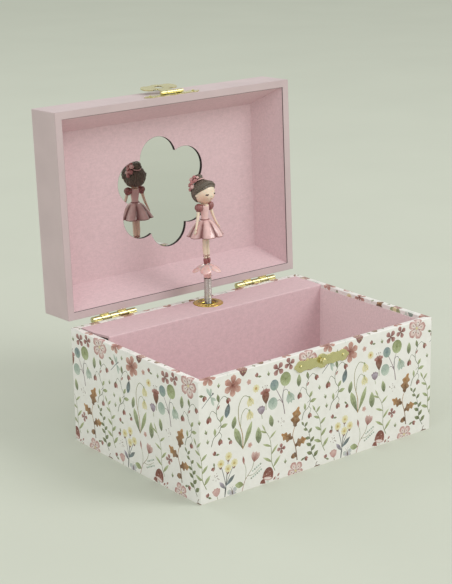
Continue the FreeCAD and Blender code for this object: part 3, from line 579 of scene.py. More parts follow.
def round_leaf(s, at, size, colour, edge):
    s.oval(at, size, size * 1.08, colour, edge, points=16)
    for k in range(9):
        turn = 40 * k + 10
        s.line((at, Vector(at) + polar(size * 0.78, turn)), 0.2, 0.06, edge)
    s.oval(at, size * 0.16, size * 0.16, edge, points=6)


def pennywort(s):
    s.line([(0, -10.5), (0.2, -5), (-1.0, 0), (-2.2, 4.0)], 0.5, 0.26, MAUVE)
    s.line([(0.2, -6), (1.0, -1), (3.8, 3.4)], 0.34, 0.22, MAUVE)
    s.line([(0.1, -5), (-1.2, -2.6), (-3.6, -2.8)], 0.3, 0.22, MAUVE)
    s.line([(0.3, -4.6), (1.6, 0.0), (3.6, 0.4), (4.4, -1.6)], 0.3, 0.2, GREY)
    round_leaf(s, (4.2, 5.4), 3.1, SAGE, OLIVE)
    round_leaf(s, (-2.4, 5.4), 2.4, TEAL, SLATE)
    round_leaf(s, (-5.2, -2.6), 2.7, MIST, TEAL)
    bellflower(s, (4.5, -1.4), 1.35, -86, MIST, TEAL)


def tulip(s):
    s.line([(-3.4, -8.0), (-1.6, -3.4), (2.0, 0.6), (3.2, 3.8)], 0.36, 0.24, ROSE, OLIVE)
    s.line([(-1.6, -3.4), (-1.2, 1.0), (-2.2, 4.6)], 0.24, 0.18, OLIVE)
    s.line([(-0.6, -2.0), (3.0, -2.0), (7.0, 0.4)], 0.24, 0.16, OLIVE)
    for lean in (-22, 22, 0):
        s.petal((3.2, 3.4), 5.0, 2.3, 72 + lean, BRICK, BLUSH, 0.6, 0.8)
        s.line((Vector((3.2, 3.6)), Vector((3.2, 3.4)) + polar(3.8, 72 + lean)), 0.18, 0.08, BRICK)
    s.petal((-2.2, 3.8), 4.0, 1.2, 98, ROSE, BRICK)
    s.petal((-3.4, -8.0), 5.2, 2.9, -96, OLIVE, MOSS, 0.5, 0.85)
    s.petal((-2.6, -5.4), 4.8, 2.9, 168, OLIVE, SAGE, 0.5, 0.85)
    for k in range(11):
        t = k / 10
        at = Vector((2.0 + 5.4 * t, -2.1 + 2.6 * t)) + polar(1.5, 90 if k % 2 else -100)
        s.oval(at, 0.52, 0.46, TEAL if k % 3 else MOSS, MIST, points=8)


def trumpet(s):
    s.line([(-0.6, -5.6), (-0.2, -2.4)], 0.36, 0.3, OLIVE)
    s.petal((-0.2, -3.0), 6.2, 4.0, 86, UMBER, BRICK, 0.66, 0.5)
    for lean in (-38, -13, 13, 38):
        s.petal(polar(2.4, 88 + lean * 0.7), 1.9, 1.7, 88 + lean * 1.3, BRICK, ROSE, 0.6, 0.7)
    for lean in (-16, -4, 10):
        s.line((Vector((0, 2.4)), polar(5.4, 90 + lean)), 0.14, 0.1, UMBER)
        s.oval(polar(5.5, 90 + lean), 0.26, 0.24, UMBER, points=6)


def bell_blossom(s, colour=LILAC, deep=MAUVE):
    s.line([(0.6, -3.4), (0.1, -1.0)], 0.3, 0.24, OLIVE)
    s.petal((0.2, -1.4), 3.6, 3.8, 94, deep, colour, 0.6, 0.5)
    for lean in (-40, -14, 14, 40):
        s.petal(polar(1.2, 94 + lean), 1.5, 1.3, 94 + lean * 1.4, colour, deep, 0.6, 0.7)


def dragonfly(s):
    s.line([(-4.6, -3.0), (-0.6, 0.4), (1.6, 2.0)], 0.24, 0.5, GREY, SLATE)
    for turn, long in ((112, 5.0), (84, 4.0), (-70, 4.8), (-40, 3.8)):
        s.petal((0.4, 1.0), long, 1.3, turn, TEAL, MIST, 0.66, 0.7)
    s.oval((1.8, 2.2), 0.5, 0.45, GREY, points=8)


def moth(s, wing=GOLD, edge=STRAW, body=UMBER):
    for turn, long, wide in ((142, 3.6, 2.6), (38, 3.6, 2.6), (-142, 2.8, 2.2), (-38, 2.8, 2.2)):
        s.petal((0, 0), long, wide, turn, wing, edge, 0.66, 0.6)
        s.line((polar(0.3, turn), polar(long * 0.74, turn)), 0.16, 0.08, wing)
    s.petal((0, -2.0), 4.4, 0.8, 90, body, UMBER, 0.5, 0.7)
    s.line([(0.1, 2.0), (0.5, 3.2), (1.2, 3.8)], 0.13, 0.1, body)
    s.line([(-0.1, 2.0), (-0.5, 3.2), (-1.2, 3.8)], 0.13, 0.1, body)


def acorn(s):
    s.petal((0.2, 1.2), 5.6, 4.4, -96, RUST, UMBER, 0.42, 0.55)
    s.line([(0.9, 0.2), (0.8, -2.6)], 0.3, 0.16, STRAW)
    s.petal((-2.9, 1.0), 6.2, 3.4, 4, UMBER, UMBER, 0.5, 0.5)
    for k in range(9):
        s.oval((-2.2 + 0.62 * k, 1.3 + 0.5 * math.sin(k * 2.1)), 0.24, 0.2, RUST, points=6)
    s.line([(0.3, 2.4), (0.5, 3.8), (1.4, 4.6)], 0.4, 0.3, UMBER)


def oak_leaf(s, at, length, turn):
    """Lobed autumn leaf."""
    at = Vector(at)
    along, across = polar(1, turn), polar(1, turn + 90)
    left, right = [], []
    for i in range(15):
        t = i / 14
        lobes = 0.80 + 0.28 * math.cos(t * 6 * math.pi)
        half = length * 0.30 * math.sin(math.pi * min(t ** 0.85, 1)) ** 0.7 * lobes
        mid = at + along * (length * t) + across * (0.07 * length * math.sin(3 * t))
        left.append(mid + across * max(half, 0.06))
        right.append(mid - across * max(half, 0.06))
    s.add(right + left[::-1], UMBER, ink(196, 148, 90), at, at + along * length)
    s.line((at, at + along * (length * 0.9) + across * (0.03 * length)), 0.26, 0.1, UMBER)


def oak_twig(s):
    s.line([(3.6, -10.0), (2.0, -4.0), (-0.4, 1.6), (0.4, 6.0)], 0.55, 0.3, UMBER, RUST)
    oak_leaf(s, (0.4, 5.6), 9.4, 82)
    oak_leaf(s, (1.6, -3.2), 7.2, 22)
    oak_leaf(s, (-0.2, 0.6), 7.4, 158)
    s.petal((2.9, -7.0), 3.4, 2.5, 205, RUST, UMBER, 0.5, 0.6)
    s.petal((2.9, -7.0), 1.5, 2.7, 205, UMBER, UMBER, 0.5, 0.6)


def berry_toadstool(s):
    toadstool(s, BRICK, BLUSH)
    s.line([(2.0, -5.6), (4.6, -2.6), (6.4, 0.4)], 0.22, 0.16, OLIVE)
    for x, y in ((4.2, -1.0), (6.4, 0.8), (6.6, -1.8)):
        s.petal((x, y), 2.0, 1.1, 60, BRICK, ROSE, 0.5, 0.7)


def broad_leaf(s, root_colour=MOSS, tip_colour=SAGE):
    s.petal((0, -3.6), 7.4, 3.3, 88, root_colour, tip_colour, 0.46, 0.8)
    s.line([(0, -3.4), (0.2, 2.8)], 0.24, 0.1, root_colour)
    for k in range(4):
        for side in (-1, 1):
            start = Vector((0.05, -2.2 + 1.2 * k))
            s.line((start, start + polar(1.3, 90 - side * 46)), 0.12, 0.06, root_colour)


def tuft(s):
    for turn, long in ((124, 1.9), (92, 2.8), (58, 2.0)):
        s.petal((0, -1.2), long, 0.75, turn, MOSS, SAGE, 0.45)
    s.oval((0.1, -1.2), 0.42, 0.3, UMBER, points=7)


def seeds(s):
    s.dots((0, 0), 2.6, 10, 0.32, UMBER)


def drop_leaf(s):
    hanging_bud(s, (0, 1.5), -70)
    s.petal((-0.2, 1.2), 2.6, 1.2, 170, MOSS, OLIVE)


def daisy(s):
    for k in range(10):
        s.petal((0, 0), 2.5, 1.1, 36 * k, STRAW, CREAM, 0.66, 0.7)
    s.oval((0, 0), 0.8, 0.8, GOLD, RUST, points=8)


def petite(s):
    for k in range(5):
        s.petal((0, 0), 1.7, 1.3, 90 + 72 * k, ROSE, BLUSH, 0.62, 0.6)
    s.oval((0, 0), 0.36, 0.36, GOLD, points=6)


# Tall plants: what, where on the repeat, scale.
TALL = [(lily, 30, 37, 1.25), (bud_vine, 13, 42, 1.2), (posy, 18, 15, 1.1), (pennywort, 48, 44, 1.12),
        (sprig, 4, 22, 1.25), (lambda s: sprig(s, 6, 5.8, 1.3, OLIVE, ink(196, 204, 160)), 42, 17, 1.2),
        (oak_twig, 56, 17, 1.15), (bud_vine, 66, 43, 1.15), (tulip, 31, 9, 1.15),
        (lambda s: sprig(s, 9, 3.6, 1.9, MOSS, OLIVE), 69, 17, 1.15)]
MEDIUM = [(spotted_flower, 1.15), (open_flower, 1.0), (toadstool, 1.1), (berry_toadstool, 1.0),
          (strawberry, 1.1), (lambda s: open_flower(s, 5.6, 6, BLUSH), 1.0), (acorn, 1.15),
          (trumpet, 1.15), (cross_flower, 1.1),
          (spotted_flower, 0.95), (moth, 1.1), (dragonfly, 1.1), (broad_leaf, 1.2), (bell_blossom, 1.15),
          (lambda s: bell_blossom(s, BLUSH, ROSE), 1.15), (open_flower, 0.8), (cross_flower, 1.0),
          (lambda s: moth(s, LILAC, MIST, GREY), 1.0), (acorn, 0.9),
          (lambda s: broad_leaf(s, SLATE, GREY), 1.0), (drop_leaf, 1.1),
          (lambda s: open_flower(s, 4.2, 5), 1.0), (drop_leaf, 1.0), (cross_flower, 0.8)]
SMALL = [tuft, seeds, tuft, drop_leaf, petite, tuft, daisy, tuft, broad_leaf, tuft, drop_leaf]
TURNED = (open_flower, spotted_flower, cross_flower, petite, moth, drop_leaf)
PERIOD_TILES = 7


def repeat_tile(width, height):
    """Shapes of one repeat of the paper. Each motif goes where it fits closest, and small ones fill in."""
    rng = random.Random(7)
    cell, below = 0.7, 4.0
    across, up = int(width / cell), int((height + below) / cell)
    columns, lines = np.arange(across) * width / across, np.arange(up) * cell - below
    grid = np.stack(np.meshgrid(columns, lines, indexing="ij"), -1)
    room = np.full((across, up), 9.0)
    shapes = []
    plan = [(draw, Vector((x, y)), size) for draw, x, y, size in TALL]
    plan += [(draw, None, size) for draw, size in MEDIUM] + [(draw, None, 0.9) for draw in SMALL * 3]
    for n, (draw, home, size) in enumerate(plan):
        sketch = Sketch(100 + n)
        draw(sketch)
        small = n >= len(TALL) + len(MEDIUM)
        own = np.array([p[:] for outline, *_ in sketch.shapes for p in outline[::3]]) * size
        best = None
        for _ in range(60 if home else 500):
            turn = rng.uniform(0, 360) if draw in TURNED else rng.uniform(-14, 14)
            at = Vector((rng.uniform(0, width), rng.uniform(-below, height)))
            if home:
                at = home + Vector((rng.uniform(-3, 3), rng.uniform(-3, 3)))
            c, si = math.cos(math.radians(turn)), math.sin(math.radians(turn))
            pts = own @ np.array([[c, si], [-si, c]]) + np.array(at[:])
            i = (pts[:, 0] % width / width * across).astype(int) % across
            k = np.clip(((pts[:, 1] + below) / cell).round().astype(int), 0, up - 1)
            gap = float(room[i, k].min())
            score = gap if small or home else -abs(gap - 1.2)
            if gap > (-1 if home else 0.9 if small else 0.7) and (best is None or score > best[0]):
                best = (score, at, turn, pts)
        if best is None:
            continue
        _, at, turn, pts = best
        for p in pts:
            d = grid - p
            d[..., 0] -= width * np.round(d[..., 0] / width)
            room = np.minimum(room, np.hypot(d[..., 0], d[..., 1]))
        turned = Matrix.Rotation(math.radians(turn), 2)
        for outline, a, b, root, tip in sketch.shapes:
            points = [turned @ (p * size) + at for p in outline]
            shapes.append((points, a, b, turned @ (root * size) + at, turned @ (tip * size) + at))
    return shapes


# ---- the printed wrap ---------------------------------------------------------------------------------
EDGE = 0.5                 # radius of the folded edges
WRAP_INSIDE = 8.0


def wrap_side(length, height, rim, shapes, start, period, hole=None):
    """One side of the wrap: (points, triangles, colours). u runs along it, v up and over the rim."""
    quarter = EDGE * math.pi / 2
    folds = [0, height - EDGE] + [height - EDGE + quarter * k / 4 for k in range(1, 5)]
    flat_end = folds[-1] + rim - 2 * EDGE
    folds += [flat_end + quarter * k / 4 for k in range(5)]
    folds.append(folds[-1] + WRAP_INSIDE - EDGE)

    def inset(v):
        if v <= height - EDGE:
            return 0.0
        if v <= height - EDGE + quarter:
            return EDGE * (1 - math.cos((v - height + EDGE) / EDGE))
        if v <= flat_end:
            return EDGE + v - (height - EDGE + quarter)
        return rim - EDGE + EDGE * math.sin(min((v - flat_end) / EDGE, math.pi / 2))

    verts, edges, polys, inks = [], [], [], []

    def polygon(points, colours):
        area = sum(a[0] * b[1] - b[0] * a[1] for a, b in zip(points, points[1:] + points[:1]))
        if area < 0:
            points = points[::-1]
        first = len(verts)
        verts.extend(Vector(p) for p in points)
        polys.append(list(range(first, first + len(points))))
        inks.append(colours)

    right = [(length - inset(v), v) for v in folds]
    left = [(inset(v), v) for v in folds]
    polygon(right + left[::-1], None)
    for v in folds[1:-1]:
        first = len(verts)
        verts.extend([Vector((inset(v), v)), Vector((length - inset(v), v))])
        edges.append((first, first + 1))
    for u in (EDGE * 0.25, EDGE * 0.5, EDGE):
        for x in (u, length - u):
            first = len(verts)
            verts.extend([Vector((x, 0)), Vector((x, height - EDGE))])
            edges.append((first, first + 1))
    top = folds[-1]
    for outline, a, b, root, tip in shapes:
        reach = [p.x for p in outline]
        copy = math.floor((start - max(reach)) / period) - 1
        while min(reach) + copy * period < start + length:
            shift = Vector((copy * period - start, 0))
            if max(reach) + shift.x > -1:
                if min(p.y for p in outline) < top:
                    polygon([p + shift for p in outline], (a, b, root + shift, tip + shift))
            copy += 1
    if hole:
        (hx, hz), radius = hole
        polygon([(hx + radius * math.cos(a), hz + radius * math.sin(a)) for a in angles(32)], "hole")
    out_verts, _, tris, _, _, origin = delaunay_2d_cdt(verts, edges, polys, 0, 1e-5)
    kept, colours = [], []
    for tri, owners in zip(tris, origin):
        if 0 not in owners:
            continue
        top_ink = inks[max(owners)]
        if top_ink == "hole":
            continue
        kept.append(tri)
        for i in tri:
            if top_ink is None:
                colours.append((*PAPER_WHITE, 0.0))
                continue
            a, b, root, tip = top_ink
            d = tip - root
            t = min(max((out_verts[i] - root).dot(d) / max(d.length_squared, 1e-9), 0.0), 1.0)
            colours.append((*(p + (q - p) * t for p, q in zip(a, b)), 1.0))

    def solid(u, v):
        """Where (u, v) is: distance along the side from its middle, distance in from its face, and height."""
        s = inset(v)
        if v <= height - EDGE:
            z = v
        elif v <= height - EDGE + quarter:
            z = height - EDGE + EDGE * math.sin((v - height + EDGE) / EDGE)
        elif v <= flat_end:
            z = height
        else:
            a = min((v - flat_end) / EDGE, math.pi / 2)
            z = height - EDGE + EDGE * math.cos(a) - max(v - flat_end - quarter, 0)
        w, half = u - length / 2, length / 2 - s
        corner = max(EDGE - s, 0.0)
        over = abs(w) - (half - corner)
        if corner > 1e-6 and over > 0:
            a = min(over / corner, 1.0) * math.pi / 4
            return math.copysign(half - corner + corner * math.sin(a), w), s + corner * (1 - math.cos(a)), z
        return w, s, z

    return [solid(p.x, p.y) for p in out_verts], kept, colours


def printed_wrap():
    low, high = box_mm("base_paper_wrap")
    inner_low, _ = box_mm("base_bottom")
    width, depth = high.x - low.x, high.y - low.y
    height = high.z - low.z
    rim = inner_low.x - low.x + 0.25
    period = 2 * (width + depth) / PERIOD_TILES
    shapes = repeat_tile(period, height + rim + WRAP_INSIDE)
    centre = (low + high) / 2
    key = (box_mm("winding_arbor")[0] + box_mm("winding_arbor")[1]) / 2
    sides = [(width, depth / 2, 0), (depth, width / 2, 90), (width, depth / 2, 180), (depth, width / 2, 270)]
    verts, faces, colours = [], [], []
    start = 0.0
    for length, reach, turn in sides:
        hole = ((width / 2 - (key.x - centre.x), key.z - low.z), 3.0) if turn == 180 else None
        points, tris, inks = wrap_side(length, height, rim, shapes, start, period, hole)
        spin = Matrix.Rotation(math.radians(turn), 3, "Z")
        first = len(verts)
        for along, inward, up in points:
            p = spin @ Vector((along, -reach + inward, 0))
            verts.append(Vector((centre.x + p.x, centre.y + p.y, low.z + up)))
        faces += [tuple(i + first for i in t) for t in tris]
        colours += inks
        start += length
    mesh = bpy.data.meshes.new("printed_wrap")
    mesh.from_pydata([v * MM for v in verts], [], faces)
    layer = mesh.color_attributes.new("print", "FLOAT_COLOR", "CORNER")
    layer.data.foreach_set("color", np.array(colours, dtype=np.float32).ravel())
    work = bmesh.new()
    work.from_mesh(mesh)
    bmesh.ops.delete(work, geom=[v for v in work.verts if not v.link_faces], context="VERTS")
    bmesh.ops.remove_doubles(work, verts=work.verts, dist=2e-6)
    work.to_mesh(mesh)
    work.free()
    mesh.polygons.foreach_set("use_smooth", [True] * len(mesh.polygons))
    mesh.materials.append(print_paper())
    piece = bpy.data.objects.new("printed_wrap", mesh)
    bpy.context.scene.collection.objects.link(piece)
    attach(piece, "base")
    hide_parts("base_paper_wrap")


UP = Vector((0, 0, 1))


# ---- post and eyelet ----------------------------------------------------------------------------------
def spring_coils():
    """Close-wound spring between the cover and the dancer."""
    low, high = box_mm("post_spring")
    centre = (low + high) / 2
    wire = 0.26
    pitch = 2 * wire
    radius = (high.x - low.x) / 2 - wire
    turns = (high.z - low.z - 2 * wire) / pitch
    steps = int(turns * 24)
    section = [math.pi / 5 * (j + 0.5) for j in range(10)]
    section = [(wire * rounded_square(math.cos(b)), wire * rounded_square(math.sin(b))) for b in section]
    rings = []
    for k in range(steps + 1):
        a = 2 * math.pi * turns * k / steps
        out = Vector((math.cos(a), math.sin(a), 0))
        middle = Vector((centre.x, centre.y, low.z + wire + pitch * turns * k / steps)) + out * radius
        rings.append([middle + out * away + UP * rise for away, rise in section])
    verts, faces = loft(rings)
    piece = add_mesh("spring_coils", verts, faces, spring_finish(), None, ["post_spring"])
    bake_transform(piece)


def rounded_square(x):
    """Flattens a sine or cosine so that a wire section is nearly square, with round corners."""
    return math.copysign(abs(x) ** 0.45, x)


def spring_finish():
    return steel("spring steel", (214, 214, 210), 0.18, 0.28)


def eyelet():
    """Brass eyelet: a dished flange, rolled over into the hole."""
    low, high = box_mm("post_eyelet")
    centre = (low + high) / 2
    outer = (high.x - low.x) / 2
    top = high.z
    card = top - 0.7
    roll = 0.62
    crest = outer - 3.0
    profile = [(outer, card), (outer + 0.02, card + 0.16), (outer - 0.12, card + 0.36),
               (outer - 0.8, card + 0.5), (outer - 1.7, card + 0.42), (outer - 2.3, card + 0.44)]
    for k in range(9):
        a = math.radians(100 - 28 * k)
        profile.append((crest - 0.5 + roll * math.cos(a), top - roll + roll * math.sin(a)))
    profile += [(crest - 0.55, card - 1.9), (crest - 0.1, card - 1.95), (crest - 0.1, card)]
    verts, faces = turned_ring(profile, 96, (centre.x, centre.y))
    add_mesh("eyelet", verts, faces, brass("eyelet brass", (220, 196, 104), 0.06, 0.15, 0.05), "base",
             ["post_eyelet"])


# ---- edges in the lid ---------------------------------------------------------------------------------
def lid_edges():
    """Dark wall strip round the mirror's cut-out in the lining, and a dark line along the joint between the
    lining and the rim; their near-black colour is painted shade of the cut-out's wall and of the gap.
    """
    # Near-black card colour used as painted shade on both edges.
    dark = painted("cut edge painted shade", (62, 54, 52), 0.8).material
    mirror_mesh = NODES["lid_mirror"].data
    facing = max((p for p in mirror_mesh.polygons if p.normal.y < -0.9), key=lambda p: p.area)
    out = facing.normal.normalized()
    right = Vector((1, 0, 0))
    down = out.cross(right)
    if down.z > 0:
        down = -down
    low, high = box_mm("lid_mirror")
    plane = facing.center / MM
    centre = (low + high) / 2
    centre += out * (plane - centre).dot(out)
    lobe, spread, first, card = 12.2, 19.4, math.radians(-97), 1.0
    loops = ([], [], [], [])
    corners = ((0.05, 0.01), (-0.12, 0.01), (-0.12, card - 0.05), (0.05, card - 0.05))
    for i in range(360):
        a = math.radians(i)
        r = 0.0
        for k in range(6):
            gap = a - first - math.pi / 3 * k
            across = spread * math.sin(gap)
            if abs(across) < lobe and math.cos(gap) > 0:
                r = max(r, spread * math.cos(gap) + math.sqrt(lobe * lobe - across * across))
        for loop, (grow, rise) in zip(loops, corners):
            reach = r + grow
            loop.append(centre + right * (reach * math.cos(a)) + down * (reach * math.sin(a)) + out * rise)
    verts = [p for loop in loops for p in loop]
    faces = [(j * 360 + i, j * 360 + (i + 1) % 360, (j + 1) % 4 * 360 + (i + 1) % 360, (j + 1) % 4 * 360 + i)
             for j in range(4) for i in range(360)]
    add_mesh("mirror_cut_shade_edge", verts, faces, dark, "lid", (), flat=True)
    # A dark tube along the joint: painted shade in the gap between the lining and the rim.
    rim = [v.co / MM for v in NODES["lid_liner_sides"].data.vertices]
    front = max(v.dot(out) for v in rim)
    rim = [v for v in rim if v.dot(out) > front - 0.2]
    corners = [max(rim, key=lambda v, sx=sx, sz=sz: sx * v.x + sz * v.z) for sx, sz in
               ((-1, -1), (1, -1), (1, 1), (-1, 1))]
    joint = []
    for i in range(4):
        here, there = corners[i], corners[(i + 1) % 4]
        joint += [here + (there - here) * k / 6 for k in range(6)]
    verts, faces = sweep([p + out * 0.1 for p in joint], 0.24, 6, closed=True)
    add_mesh("lining_joint_shade_line", verts, faces, dark, "lid", ())


# ---- dancer -------------------------------------------------------------------------------------------
class Dancer:
    """Places pieces drawn about an upright axis at x = y = 0 on the dancer's own axis."""

    FACING = 8.5

    def __init__(self):
        spin = JOINTS["dance_spin"]
        foot = Vector(spin["pos_m"]) / MM
        axis = Vector(spin["axis"])
        tilt = Vector((0, 0, 1)).rotation_difference(axis).to_matrix().to_4x4()
        turn = Matrix.Rotation(math.radians(self.FACING), 4, "Z")
        down = Matrix.Translation((0, 0, -foot.z))
        self.place = Matrix.Translation(foot + axis * 0.12) @ tilt @ turn @ down
        self.foot_z = foot.z

    def add(self, name, part, finish, slot, stands_for=()):
        return add_mesh(name, part[0], part[1], finish, "dancer", stands_for, self.place)


def petal_cup(dancer):
    z = dancer.foot_z
    cup = lathe([(0.02, z + 0.02), (2.1, z + 0.02), (2.2, z + 0.4), (2.1, z + 2.0), (1.8, z + 4.5),
                 (1.4, z + 6.6), (0.9, z + 8.0), (0.02, z + 8.1)], 40)
    parts = [cup]
    for k in range(5):
        spin = Matrix.Rotation(math.radians(225 - dancer.FACING + 72 * k), 4, "Z")
        rings = []
        rows = 20
        for i in range(rows + 1):
            t = 1 - (1 - i / rows) ** 1.7
            reach = 0.9 + 7.7 * t - 0.5 * t * t
            drop = z + 7.2 - 1.2 * t - 2.6 * t * t
            slope = math.atan2(-(1.2 + 5.2 * t), 7.7 - t)
            if t < 0.58:
                wide = 3.3 * (0.42 + 0.58 * math.sin(math.pi / 2 * t / 0.58))
            else:
                wide = 3.3 * math.sqrt(max(1 - ((t - 0.58) / 0.425) ** 2, 0.0))
            thick = 0.68 * (1 - 0.2 * t) * (min(wide, 2.2) / 2.2) ** 0.6
            ring = []
            for a in angles(24):
                side, rise = math.cos(a) * wide, math.sin(a) * thick
                rise -= 0.07 * side * side * (0.2 + t)
                point = Vector((reach - rise * math.sin(slope), side, drop + rise * math.cos(slope)))
                ring.append(spin @ point)
            rings.append(ring)
        parts.append(loft(rings))
    finish = painted("petal resin", (238, 198, 194), 0.16, 0.6, 0.97, 1.03, 240, 0.01)
    finish.shader.inputs["Subsurface Weight"].default_value = 0.35
    finish.shader.inputs["Subsurface Radius"].default_value = (0.004, 0.0015, 0.001)
    finish.shader.inputs["Subsurface Scale"].default_value = 0.6
    return dancer.add("dancer_petals", merged(parts), finish.material, "petal_gloss", ["figure_petals"])


def socket(dancer):
    """Short plug that goes down inside the spring."""
    z = dancer.foot_z
    part = lathe([(0.02, z - 1.6), (0.38, z - 1.6), (0.55, z - 1.35), (0.6, z - 0.02), (0.02, z)], 24)
    dancer.add("dancer_plug", part, painted("plug resin", (222, 160, 160), 0.4).material, "plug_plastic",
               ["figure_plug"])


def legs_and_shoes(dancer, skin):
    z = dancer.foot_z
    shoe_paint = painted("shoe paint", (150, 84, 84), 0.24, 0.5, 0.86, 1.1, 900)
    legs, shoes, ribbons = [], [], []
    shape = (0.86, 0.92, 1.06, 1.17, 1.2, 1.18, 1.2, 1.24, 1.26)

    def thickness(t):
        at = t * (len(shape) - 1)
        i = min(int(at), len(shape) - 2)
        return shape[i] + (shape[i + 1] - shape[i]) * (at - i)

    for side in (-1, 1):
        x = side * 1.02
        path = smooth_path([(x * 1.1, -0.1, z + 11.0), (x, 0, z + 13.5), (x * 1.02, 0.18, z + 16.5),
                            (x * 0.98, 0.05, z + 19.5), (x * 1.1, 0, z + 30.0)], 6)
        legs.append(sweep(path, thickness, 20))
        profile = [(0.02, 7.6), (0.5, 7.66), (0.84, 7.95), (1.06, 8.7), (1.2, 9.6), (1.14, 10.4),
                   (0.98, 10.9), (0.8, 10.95), (0.02, 10.8)]
        ring_part = lathe([(r, z + h) for r, h in profile], 24)
        squeeze = Matrix.Translation((x * 1.1, -0.12, 0)) @ Matrix.Diagonal((0.96, 1.12, 1, 1))
        shoes.append(moved(ring_part, squeeze))
        for turn, lean in ((0, 34), (180, 34)):
            tilt = (Matrix.Translation((x * 1.06, 0, z + 12.4)) @ Matrix.Rotation(math.radians(turn), 4, "Z")
                    @ Matrix.Rotation(math.radians(lean), 4, "Y"))
            loop = [tilt @ Vector((1.02 * math.cos(a), 0.94 * math.sin(a), 0)) for a in angles(24)]
            ribbons.append(sweep(loop, 0.2, 6, closed=True))
    dancer.add("dancer_legs", merged(legs), skin, "skin_paint", ["figure_legs"])
    dancer.add("dancer_shoes", merged(shoes), shoe_paint.material, "shoe_paint", ["figure_shoes"])
    dancer.add("dancer_ribbons", merged(ribbons), shoe_paint.material, "shoe_paint")


PLEATS = 7
FRONT = math.radians(270)


def pleat(angle, turn=0.0):
    """0 in the crease between two pleats, 1 on the crown of a pleat."""
    phase = ((angle - FRONT - turn) * PLEATS / (2 * math.pi)) % 1.0
    return math.sin(math.pi * phase) ** 0.42


def skirt(dancer, satin):
    """Short flared skirt of seven round pleats; painted shade darkens the creases between them and the inside
    of the skirt.
    """
    waist, hem, reach = 110.5, 102.0, 10.1

    def outer(t):
        return 2.35 + (reach - 2.35) * t ** 0.66

    def fold(a, t, r):
        deep = (0.08 + 0.12 * t) * r * min(1, t * 4)
        crown = pleat(a, math.radians(-Dancer.FACING) + 0.05 * math.sin(3 * a + 1.0) * t)
        return r - deep * (1 - crown) + 0.010 * r * math.sin(21 * a + 9 * t) * t, crown

    rows, around = 24, 308
    levels = [(k / rows, 0.0, 0.0) for k in range(rows + 1)]
    levels += [(1.0, -0.02, 0.26), (1.0, -0.16, 0.44), (1.0, -0.42, 0.42), (1.0, -0.56, 0.1)]
    levels += [(1 - k / 10, -0.62, 0.1) for k in range(1, 9)]
    rings, shade = [], []
    for t, inset, below in levels:
        ring = []
        for k in range(around):
            a = 2 * math.pi * k / around
            r, crown = fold(a, t, outer(t) + inset)
            dip = 0.4 * (crown - 0.6) * t ** 3
            ring.append(Vector((r * math.cos(a), r * math.sin(a), waist - (waist - hem) * t - below - dip)))
            # Painted shade per point: darker towards each crease, and a fixed dark value on the hem's
            # underside and inside.
            shade.append(min(1.0, 1.9 * max(0.0, 1 - crown)) * min(1, t * 3 + 0.3) if not inset else 0.85)
        rings.append(ring)
    verts, faces = loft(rings)
    piece = dancer.add("dancer_skirt", (verts, faces), satin, "dress_satin", ["figure_skirt"])
    crease_shade = piece.data.color_attributes.new("crease", "FLOAT_COLOR", "POINT")
    shade += [0.0] * (len(piece.data.vertices) - len(shade))
    crease_shade.data.foreach_set("color", [c for v in shade for c in (v, v, v, 1.0)])
    # Dark rose band along the hem: painted shade under the hem's lip.
    trim = []
    for k in range(around):
        a = 2 * math.pi * k / around
        r, crown = fold(a, 1.0, outer(1.0) + 0.02)
        trim.append(Vector((r * math.cos(a), r * math.sin(a), hem - 0.2 - 0.4 * (crown - 0.6))))
    dancer.add("dancer_hem", sweep(trim, 0.16, 6, closed=True), deep_satin(), "sleeve_satin")


DEEP = []


def deep_satin():
    if not DEEP:
        DEEP.append(painted("deep rose paint", (150, 94, 92), 0.26, 0.35, 0.84, 1.14, 800, 0.03).material)
    return DEEP[0]


def bodice(dancer, satin, skin):
    """Fitted bodice with princess seams, a sash, and a skin neckline."""
    sections = [(110.0, 2.35, 2.1), (110.9, 2.15, 1.9), (112.2, 2.05, 1.8), (113.9, 2.3, 2.0),
                (115.6, 2.65, 2.2), (117.2, 2.95, 2.3), (118.4, 2.95, 2.1), (118.9, 2.75, 1.9)]
    rings = []
    for z, rx, ry in sections:
        ring = []
        for a in angles(56):
            seams = [math.exp(-((a - FRONT + gap) * 9) ** 2) for gap in (-0.42, 0.42)]
            seam = 1 - 0.03 * sum(seams)
            dip = 0.55 * math.exp(-((a - FRONT) * 2.2) ** 2) if z > 117.8 else 0.0
            ring.append(Vector((rx * seam * math.cos(a), ry * seam * math.sin(a), z - dip)))
        rings.append(ring)
    dancer.add("dancer_bodice", loft(rings), satin, "dress_satin", ["figure_bodice"])
    chest = lathe([(0.02, 117.0), (2.4, 117.1), (2.65, 118.5), (2.2, 119.1), (1.4, 119.45), (1.1, 119.8),
                   (1.05, 120.4), (1.1, 121.0), (0.02, 121.2)], 40)
    dancer.add("dancer_neck", moved(chest, Matrix.Diagonal((1.0, 0.82, 1, 1))), skin, "skin_paint")
    edging = []
    for a in angles(56):
        dip = 0.55 * math.exp(-((a - FRONT) * 2.2) ** 2)
        edging.append(Vector((2.82 * math.cos(a), 1.98 * math.sin(a), 118.9 - dip)))
    sash = [Vector((2.28 * math.cos(a), 2.05 * math.sin(a), 110.5)) for a in angles(48)]
    trims = [sweep(edging, 0.17, 6, closed=True), sweep(sash, 0.42, 8, closed=True)]
    trims.append(ellipsoid((0, 2.35, 110.5), (0.7, 0.45, 0.55), 8, 12))
    dancer.add("dancer_trim", merged(trims), deep_satin(), "sleeve_satin")


